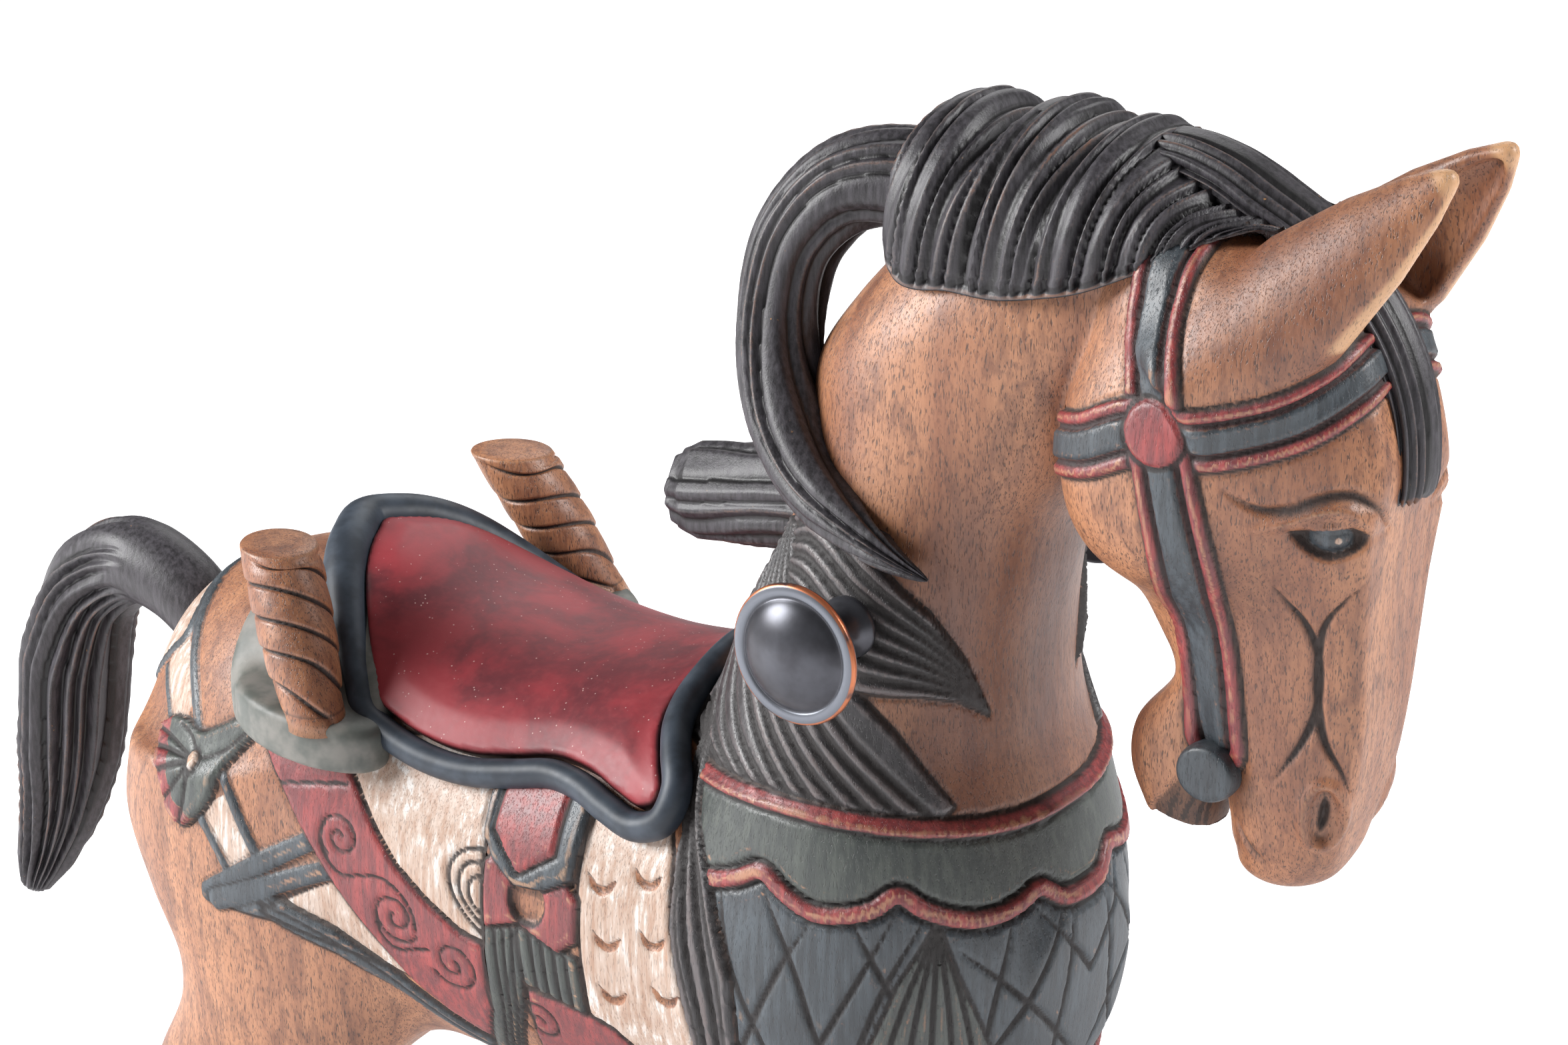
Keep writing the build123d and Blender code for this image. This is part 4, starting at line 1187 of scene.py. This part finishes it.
def painted_wood(name, paints=PAINTS, wear=1.0):
    """Wood under thin paints that follow the carving, rubbed on ridges, and dark in the grooves, with painted
    shade in hollows, on the throat, face and ears, and a painted highlight on the ridges of the black paint.
    """
    s = Shader(name)
    colour, height = wood(s)
    # painted shade: a darker brown on the throat under the head, on the face and on the ears
    colour = s.mix(s.attribute("stain"), colour, rgb(80, 36, 17), 0.6)
    rubbed = s.times(s.between(s.attribute("stain"), -0.1, -0.8), 0.65)
    colour = s.mix(rubbed, colour, rgb(218, 172, 126))
    streaks = s.noise(s.grain, 0.55, 4.0, 0.65)
    speckle = s.noise(s.mm, 1.3, 3.0, 0.6)
    patches = s.noise(s.mm, 0.10, 3.0, 0.55)
    edge, wash = s.attribute("edge"), s.attribute("wash")
    hand = s.times(s.math("SUBTRACT", s.noise(s.mm, 0.5, 2.0), 0.5), 0.7)
    ridge = s.between(s.math("ADD", edge, s.times(s.math("SUBTRACT", speckle, 0.5), 1.1)), 0.34, 0.75)
    rubbed = s.times(ridge, s.between(patches, 0.40, 0.62))
    bare_spots = s.times(s.between(streaks, 0.66, 0.76), s.between(patches, 0.45, 0.65))
    for paint in paints:
        light, dark = PAINT_TONES[paint]
        field = s.math("ADD", s.attribute(paint), hand)
        mask = s.between(field, 0.22, -0.22)
        tone = s.mix(s.between(streaks, 0.36, 0.68), dark, light)
        tone = s.mix(s.between(patches, 0.38, 0.66), tone, dark if paint != "cream" else light, 0.45)
        if paint == "cream":
            tone = s.mix(s.between(streaks, 0.5, 0.36), tone, rgb(166, 124, 98), 0.4)
            whites = s.times(s.between(streaks, 0.52, 0.62), s.between(patches, 0.42, 0.58))
            tone = s.mix(whites, tone, rgb(228, 223, 219), 0.8)
        # painted highlight: the ridges of the black paint are lightened to grey
        if paint == "black":
            tone = s.mix(s.between(edge, 0.1, 0.6), tone, rgb(112, 103, 103), 0.5)
        lost = s.times(s.math("MAXIMUM", rubbed, s.times(bare_spots, 0.5)),
                      wear * (0.06 if paint == "black" else 0.4))
        mask = s.times(mask, s.math("SUBTRACT", 1.0, lost))
        colour = s.mix(mask, colour, tone)
    # pores and fibres show through the paint
    pore = s.between(s.noise(s.scaled(s.place, (1000, 1000, 170)), 3.0, 1.0, 0.5), 0.60, 0.70)
    colour = s.mix(pore, colour, rgb(34, 26, 24), 0.3)
    worn = s.times(s.between(edge, 0.4, 0.95), s.between(s.attribute("black"), 0.5, 1.5))
    colour = s.mix(worn, colour, rgb(206, 160, 120), 0.4 * wear)
    # painted shade: every concave place darkened by its curvature, together with the dark of the washed
    # grooves and the painted shade inside the mouth
    shade_and_dark_grooves = s.times(s.between(edge, -0.15, -0.8), 0.55)
    shade_and_dark_grooves = s.math("MAXIMUM", shade_and_dark_grooves, s.times(s.between(wash, 0.25, 0.8), 0.93))
    colour = s.mix(shade_and_dark_grooves, colour, rgb(28, 21, 20))
    rough = s.math("ADD", 0.36, s.times(streaks, 0.22))
    rough = s.math("ADD", rough, s.times(shade_and_dark_grooves, 0.25), clamp=True)
    height = s.math("ADD", height, s.times(s.noise(s.mm, 0.8, 3.0), 0.6))
    return s.surface(colour, rough, height, 0.20, 0.5, Specular_IOR_Level=0.8)


def hair_paint(name):
    """Charcoal paint on the carved hair, rubbed brown along the ridges, with a painted grey highlight on them
    and painted shade in the hollows.
    """
    s = Shader(name)
    edge, wash = s.attribute("edge"), s.attribute("wash")
    long_grain = s.noise(s.scaled(s.place, (1000, 1000, 160)), 0.8, 4.0, 0.65)
    speckle = s.noise(s.mm, 1.6, 3.0, 0.6)
    patches = s.noise(s.mm, 0.07, 3.0, 0.55)
    colour = s.mix(s.between(long_grain, 0.3, 0.7), rgb(40, 38, 41), rgb(74, 71, 76))
    high = s.math("ADD", edge, s.times(s.math("SUBTRACT", speckle, 0.5), 0.9))
    # painted highlight: the ridges are lightened to grey
    colour = s.mix(s.between(high, 0.25, 0.8), colour, rgb(112, 101, 98), 0.45)
    brown = s.times(s.between(high, 0.42, 0.9), s.between(patches, 0.42, 0.6))
    colour = s.mix(brown, colour, rgb(128, 84, 58), 0.55)
    flecks = s.times(s.between(s.noise(s.mm, 0.9, 3.0, 0.6), 0.68, 0.75), s.between(patches, 0.55, 0.68))
    colour = s.mix(flecks, colour, rgb(190, 140, 88), 0.8)
    # painted shade in concave places, by their curvature, with the dark of the washed grooves
    deep = s.math("MAXIMUM", s.between(wash, 0.2, 0.95), s.times(s.between(edge, -0.1, -0.7), 0.8))
    colour = s.mix(deep, colour, rgb(14, 12, 12), 0.85)
    rough = s.math("ADD", 0.33, s.times(long_grain, 0.25))
    height = s.math("ADD", s.times(long_grain, 0.8), s.times(s.noise(s.mm, 2.2, 2.0), 0.4))
    return s.surface(colour, rough, height, 0.22, 0.5)


def seat_paint(name):
    """Deep red satin paint with dark clouds and specks of dust, and painted shade in its hollows; the roll
    round it is slate blue.
    """
    s = Shader(name)
    clouds = s.noise(s.mm, 0.035, 5.0, 0.62, 0.4)
    fine = s.noise(s.mm, 0.5, 4.0, 0.6)
    red = s.mix(s.between(clouds, 0.36, 0.62), rgb(100, 36, 44), rgb(150, 48, 56))
    red = s.mix(s.between(fine, 0.45, 0.7), red, rgb(166, 72, 74), 0.15)
    dust = s.add("TexVoronoi", Vector=s.scaled(s.place, (620, 620, 620)), Scale=1.0, Randomness=1.0)
    some = s.between(s.noise(s.mm, 0.30, 1.0), 0.51, 0.58)
    dots = s.times(s.between(dust, 0.16, 0.08), some)
    red = s.mix(dots, red, rgb(214, 178, 172), 0.75)
    soft = s.noise(s.mm, 0.14, 3.0, 0.55)
    blue = s.mix(s.between(soft, 0.32, 0.68), rgb(38, 46, 56), rgb(60, 69, 80))
    green = s.mix(s.between(soft, 0.32, 0.68), rgb(92, 96, 91), rgb(128, 126, 120))
    colour = s.mix(s.between(s.attribute("blue"), 0.15, -0.15), red, blue)
    colour = s.mix(s.between(s.attribute("green"), 0.15, -0.15), colour, green)
    high = s.math("ADD", s.attribute("edge"), s.times(s.math("SUBTRACT", fine, 0.5), 0.9))
    colour = s.mix(s.between(high, 0.35, 0.9), colour, rgb(150, 132, 118), 0.35)
    # painted shade in concave places, by their curvature, with the dark of the washed grooves
    deep = s.math("MAXIMUM", s.between(s.attribute("wash"), 0.2, 0.9),
                  s.times(s.between(s.attribute("edge"), -0.2, -0.8), 0.7))
    colour = s.mix(deep, colour, rgb(24, 16, 16), 0.9)
    rough = s.math("ADD", 0.42, s.times(fine, 0.16))
    height = s.math("ADD", s.times(fine, 0.5), s.times(dots, 0.5))
    return s.surface(colour, rough, height, 0.10, 0.4)


def knob_metal(name):
    """Black bronze finish, grey on the turned ring and copper where the rim is rubbed."""
    s = Shader(name)
    clouds = s.noise(s.mm, 0.16, 3.0, 0.5)
    fine = s.noise(s.mm, 3.0, 2.0)
    colour = s.mix(s.between(clouds, 0.3, 0.7), rgb(66, 66, 71), rgb(82, 83, 89))
    colour = s.mix(s.attribute("ring"), colour, rgb(118, 122, 130), 0.8)
    rubbed = s.times(s.between(s.attribute("copper"), 0.1, 0.7), s.between(clouds, 0.3, 0.5))
    colour = s.mix(rubbed, colour, rgb(196, 120, 84))
    rough = s.math("ADD", 0.30, s.times(fine, 0.06))
    return s.surface(colour, rough, fine, 0.015, 0.15, Metallic=0.7)


def plain_steel(name):
    """Bright plated steel for the bolts."""
    s = Shader(name)
    fine = s.noise(s.mm, 2.5, 3.0)
    colour = s.mix(s.between(fine, 0.3, 0.7), rgb(142, 144, 148), rgb(188, 190, 194))
    return s.surface(colour, s.math("ADD", 0.3, s.times(fine, 0.2)), fine, 0.03, 0.4, Metallic=1.0)


def plain_wood(name, tone=0.0):
    """Bare wood for the dowels."""
    s = Shader(name)
    colour, height = wood(s, tone)
    rough = s.math("ADD", 0.5, s.times(s.noise(s.mm, 0.5), 0.2))
    return s.surface(colour, rough, height, 0.2, 0.6)


# ---- cutting the carved figure into its blocks ---------------------------------------------------
def chunk(bm_total, surface, planes):
    """Adds the part of a surface inside the planes to a bmesh, with flat joint faces where it is cut.
    planes are (axis, value, side): the part kept is where side * (point - value) is above 0."""
    margin = 4.0
    keep = np.ones(len(surface.points), bool)
    for axis, value, side in planes:
        keep &= side * (surface.points[:, axis] - value) > -margin
    quads = surface.quads[keep[surface.quads].all(1)]
    triangles = surface.triangles[keep[surface.triangles].all(1)]
    ids = np.unique(np.concatenate([quads.ravel(), triangles.ravel()]))
    renumber = np.full(len(surface.points), -1)
    renumber[ids] = np.arange(len(ids))
    part = Surface(surface.points[ids], renumber[quads], renumber[triangles])
    part.values = {name: v[ids] for name, v in surface.values.items()}
    mesh = raw_mesh("part", part)
    bm = bmesh.new()
    bm.from_mesh(mesh)
    for axis, value, side in planes:
        normal = Vector([0.0, 0.0, 0.0])
        normal[axis] = -side
        point = Vector([0.0, 0.0, 0.0])
        point[axis] = value * MM
        everything = bm.verts[:] + bm.edges[:] + bm.faces[:]
        cut = bmesh.ops.bisect_plane(bm, geom=everything, dist=1e-7, plane_co=point, plane_no=normal,
                                     clear_outer=True)
        edges = [g for g in cut["geom_cut"] if isinstance(g, bmesh.types.BMEdge) and len(g.link_faces) == 1]
        if edges:
            caps = bmesh.ops.holes_fill(bm, edges=edges, sides=0)["faces"]
            for face in caps:
                face.smooth = False
            for edge in edges:
                edge.smooth = False
    bm.to_mesh(mesh)
    bm.free()
    bm_total.from_mesh(mesh)
    bpy.data.meshes.remove(mesh)


def raw_mesh(name, surface):
    """A Blender mesh of a surface, with its values as point attributes."""
    mesh = bpy.data.meshes.new(name)
    mesh.vertices.add(len(surface.points))
    mesh.vertices.foreach_set("co", (surface.points * MM).astype(np.float32).ravel())
    corners = np.concatenate([surface.quads.ravel(), surface.triangles.ravel()]).astype(np.int32)
    sizes = np.concatenate([np.full(len(surface.quads), 4), np.full(len(surface.triangles), 3)])
    mesh.loops.add(len(corners))
    mesh.loops.foreach_set("vertex_index", corners)
    mesh.polygons.add(len(sizes))
    mesh.polygons.foreach_set("loop_start", (np.cumsum(sizes) - sizes).astype(np.int32))
    mesh.polygons.foreach_set("use_smooth", np.ones(len(sizes), bool))
    mesh.update(calc_edges=True)
    for key, values in surface.values.items():
        mesh.attributes.new(key, "FLOAT", "POINT").data.foreach_set("value", values.astype(np.float32))
    return mesh


replaced = set()  # CAD nodes that a piece stands for


def place(name, shape, material, slot, *nodes):
    """Makes the object of a piece from a surface or a mesh; it stands for those CAD nodes."""
    mesh = raw_mesh(name, shape) if isinstance(shape, Surface) else shape
    mesh.materials.append(material)
    piece = bpy.data.objects.new(name, mesh)
    bpy.context.scene.collection.objects.link(piece)
    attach(piece, "root")
    if nodes:
        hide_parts(*nodes)
        replaced.update(nodes)


def block(name, parts, material, slot, *nodes):
    """A piece from (surface, planes) parts."""
    bm = bmesh.new()
    for surface, planes in parts:
        chunk(bm, surface, planes)
    mesh = bpy.data.meshes.new(name)
    bm.to_mesh(mesh)
    bm.free()
    place(name, mesh, material, slot, *nodes)


NOWHERE = np.array([-9999.0, -9999.0])  # flat coordinates that no ornament reaches
CARVED_FROM_Z, CARVED_TO_X = 171, 139  # just under the legs' joint and just before the head's
BREAST_X = 40  # the breast cloth and the neck's locks lie in front of this
NECK_X, NECK_Z = 44, 284  # in front of and above both, the barrel's ornaments would run up the neck
LOCKS_Z, STRIP_Z = 276, 292  # the neck's locks lie above the first, the fringe below the second


def carved_torso(low, high, size):
    """The barrel, chest and neck, with each set of ornaments only where it belongs."""
    surface = field_surface(horse, low, high, size)
    c = Carver(surface)
    body, chest = on_barrel(surface.points), on_chest(surface.points)
    x, _, z = surface.points.T
    plain = (x > CARVED_TO_X) | (z < CARVED_FROM_Z)

    def without(flat, left_out):
        return np.where((plain | left_out)[:, None], NOWHERE, flat)

    carve_barrel(c, without(body, (z > NECK_Z) & (x > NECK_X)))
    if high[0] > BREAST_X:
        carve_chest(c, without(chest, x < BREAST_X), without(body, x < BREAST_X))
        carve_neck(c, without(chest, (x < BREAST_X) | (z < LOCKS_Z)))
    carve_strip(c, without(body, z > STRIP_Z))
    return c.finish()


def carved_head(size):
    """The head and the face, with the bridle and the lines cut in it."""
    surface = field_surface(horse, (132, -44, 262), (230, 44, 446), size)
    c = Carver(surface)
    carve_head(c, surface.points)
    return c.finish()


def carved_leg(x_low, x_high, size):
    """A pair of legs with black hooves."""
    surface = field_surface(horse, (x_low, -66, -8), (x_high, 66, 182), size)
    c = Carver(surface)
    hoof = surface.points[:, 2] - 17
    c.paint("black", hoof, 0.3)
    c.groove(np.abs(hoof), 1.6, 1.2)
    return c.finish()


# ---- pieces --------------------------------------------------------------------------------------
BODY_WOOD = painted_wood("stained and painted wood")
HAIR = hair_paint("black painted wood")
X, Y, Z = 0, 1, 2
# the last number of each is the distance between its points, mm: finest on the head
rear = carved_torso((-152, -66, 164), (6, 0, 300), 0.95)
front = carved_torso((-6, -66, 164), (146, 0, 426), 0.89)
head = carved_head(0.73)
hind = carved_leg(-152, -20, 1.5)
fore = carved_leg(60, 150, 1.5)

SADDLE_REAR_X, SADDLE_FRONT_X, SADDLE_Z = SADDLE_LOW[0], SADDLE_HIGH[0], SADDLE_LOW[2]
block("carved_rear_block", [
    (rear, [(X, SEAM_X, -1), (Z, SADDLE_Z, -1), (Z, LEG_JOINT_Z, 1)]),
    (rear, [(X, SADDLE_REAR_X, -1), (Z, SADDLE_Z, 1)])], BODY_WOOD, "stained_wood", "body_rear_block")
block("carved_front_block", [
    (front, [(X, SEAM_X, 1), (Z, SADDLE_Z, -1), (Z, LEG_JOINT_Z, 1)]),
    (front, [(X, SADDLE_FRONT_X, 1), (Z, SADDLE_Z, 1), (Z, NECK_JOINT_Z, -1)])], BODY_WOOD, "stained_wood",
    "body_front_block")
block("carved_neck", [(front, [(Z, NECK_JOINT_Z, 1), (X, HEAD_JOINT_X, -1), (X, SADDLE_FRONT_X, 1)])],
      BODY_WOOD, "stained_wood", "neck_block")
disc = bit_disc()
head = merged(head, disc, flip_y(disc))
block("carved_head", [(head, [(X, HEAD_JOINT_X, 1)])], BODY_WOOD, "stained_wood", "head_block")
for side, sign in ("right", -1), ("left", 1):
    block(f"carved_hindleg_{side}", [(hind, [(Z, LEG_JOINT_Z, -1), (Z, 0, 1), (Y, 0, sign)])], BODY_WOOD,
          "stained_wood", f"hindleg_{side}")
    block(f"carved_foreleg_{side}", [(fore, [(Z, LEG_JOINT_Z, -1), (Z, 0, 1), (Y, 0, sign)])], BODY_WOOD,
          "stained_wood", f"foreleg_{side}")

# saddle: the block between the joints, the red seat, the blue roll and the two green pads
seat = Carver(field_surface(seat_field, (-90, -66, 245), (50, 66, 312), 1.2))
seat_flat = on_barrel(seat.surface.points)
rim = area(seat_flat, SADDLE_LOOP, curved=True)
seat.groove(np.abs(rim + 3.4 + 1.0 * seat_back(seat.surface.points[:, 0])), 2.0, 1.0)
seat = seat.paint_all("red").finish()
ROLL_HALF = 3.6  # half width of the roll
roll_line = spline(SADDLE_LOOP + SADDLE_LOOP[:1], 420)[:-1]
roll_path = over_barrel(roll_line, 3.4 + cantle(*roll_line.T))
wide = ROLL_HALF + 2.2 * seat_back(roll_path[:, 0])
roll = strand(roll_path, wide, 4.0 + 0.5 * (wide - ROLL_HALF), 28, closed=True)
roll = roll.paint_all("blue").finish()
pad = Carver(field_surface(pad_field, (-96, -68, 244), (-28, 68, 288), 1.0)).paint_all("green").finish()
SADDLE = seat_paint("painted saddle")
block("saddle_block", [
    (rear, [(X, SADDLE_REAR_X, 1), (X, SEAM_X, -1), (Z, SADDLE_Z, 1)]),
    (front, [(X, SADDLE_FRONT_X, -1), (X, SEAM_X, 1), (Z, SADDLE_Z, 1)])], BODY_WOOD, "saddle_paint",
    "saddle")
place("saddle_seat_roll_and_pads", merged(seat, roll, pad), SADDLE, "saddle_paint")

crest = crest_surface()
forelock, arch, stub, tail = hair_pieces()
for name, shape, node in (
        ("mane_crest_and_forelock", merged(crest, forelock), "mane_crest"),
        ("mane_arched_lock", arch, "mane_arch_lock"), ("mane_cut_lock", stub, "mane_stub_lock"),
        ("carved_tail", tail, "tail")):
    place(name, shape, HAIR, "black_painted_wood", node)

POST_WOOD = painted_wood("post wood", paints=("black",), wear=0.6)
KNOB = knob_metal("dark bronze")
knob = knob_surface(*box_mm("neck_knob_right"))
for side, sign, knob_shape in ("right", 1, knob), ("left", -1, flip_y(knob)):
    place(f"spiral_post_{side}", post_surface(sign), POST_WOOD, "post_wood", f"saddle_post_{side}")
    place(f"turned_knob_{side}", knob_shape, KNOB, "dark_bronze", f"neck_knob_{side}")

# hidden hardware keeps its CAD shape
DOWEL_WOOD, STEEL = plain_wood("dowel wood", -0.1), plain_steel("zinc-plated steel")
for name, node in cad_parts.items():
    if name not in replaced:
        material = STEEL if "bolt" in name else DOWEL_WOOD
        node.data.materials.clear()
        node.data.materials.append(material)

# ---- floor, light and camera ---------------------------------------------------------------------
FLOOR_HALF, FLOOR_Z = 9.0, -0.0005
floor_mesh = bpy.data.meshes.new("floor")
floor_corners = [(x * FLOOR_HALF, y * FLOOR_HALF, FLOOR_Z) for x, y in ((-1, -1), (1, -1), (1, 1), (-1, 1))]
floor_mesh.from_pydata(floor_corners, [], [(0, 1, 2, 3)])
floor = bpy.data.objects.new("floor", floor_mesh)
bpy.context.scene.collection.objects.link(floor)
paper = Shader("white paper")
# The floor glows though it is no lamp: faintly beside the horse, as a painted shadow round it, and brightly
# farther off.
away = paper.listed("VectorMath", {0: paper.place}, {"operation": "LENGTH"}, out=1)
glow = paper.add("MapRange", Value=away, From_Min=0.33, From_Max=0.65, To_Min=0.03, To_Max=0.75)
white = paper.mix(paper.noise(paper.mm, 0.004), rgb(248, 247, 249), rgb(252, 251, 253))
floor_mesh.materials.append(paper.surface(white, 0.9, paper.noise(paper.mm, 0.5), 0.02, 0.1,
                                          Emission_Color=(1, 0.995, 1, 1), Emission_Strength=glow))

world = bpy.data.worlds.new("studio")
bpy.context.scene.world = world
world.use_nodes = True
world.node_tree.nodes["Background"].inputs[0].default_value = (1.0, 0.99, 1.0, 1)
world.node_tree.nodes["Background"].inputs[1].default_value = 0.16


def softbox(name, place_at, look_at, size, power):
    """A round area light, size in metres and power in watts."""
    light = bpy.data.lights.new(name, "AREA")
    light.shape, light.size, light.energy = "DISK", size, power
    lamp = bpy.data.objects.new(name, light)
    lamp.location = place_at
    lamp.rotation_euler = (Vector(look_at) - Vector(place_at)).to_track_quat("-Z", "Y").to_euler()
    bpy.context.scene.collection.objects.link(lamp)


MIDDLE = (0.05, 0, 0.30)
softbox("key", (-1.05, -0.86, 0.90), MIDDLE, 0.8, 34)
softbox("side", (1.25, 0.45, 1.20), MIDDLE, 0.6, 19)
softbox("back", (-0.7, 1.5, 1.5), MIDDLE, 1.3, 10)

AZIMUTH, ELEVATION, DISTANCE, TARGET = radians(36), radians(20), 0.800, Vector((0.052, 0, 0.325))
FOCAL_LENGTH, SENSOR = 78.37, 36.0
back = Vector((sin(AZIMUTH) * cos(ELEVATION), -cos(AZIMUTH) * cos(ELEVATION), sin(ELEVATION)))
camera_data = bpy.data.cameras.new("camera")
camera_data.lens, camera_data.sensor_width = FOCAL_LENGTH, SENSOR
camera_data.clip_start, camera_data.clip_end = 0.01, 50
camera = bpy.data.objects.new("camera", camera_data)
camera.location = TARGET + back * DISTANCE
camera.rotation_euler = back.to_track_quat("Z", "Y").to_euler()
bpy.context.scene.collection.objects.link(camera)
bpy.context.scene.camera = camera
bpy.context.scene.view_settings.view_transform = "Standard"
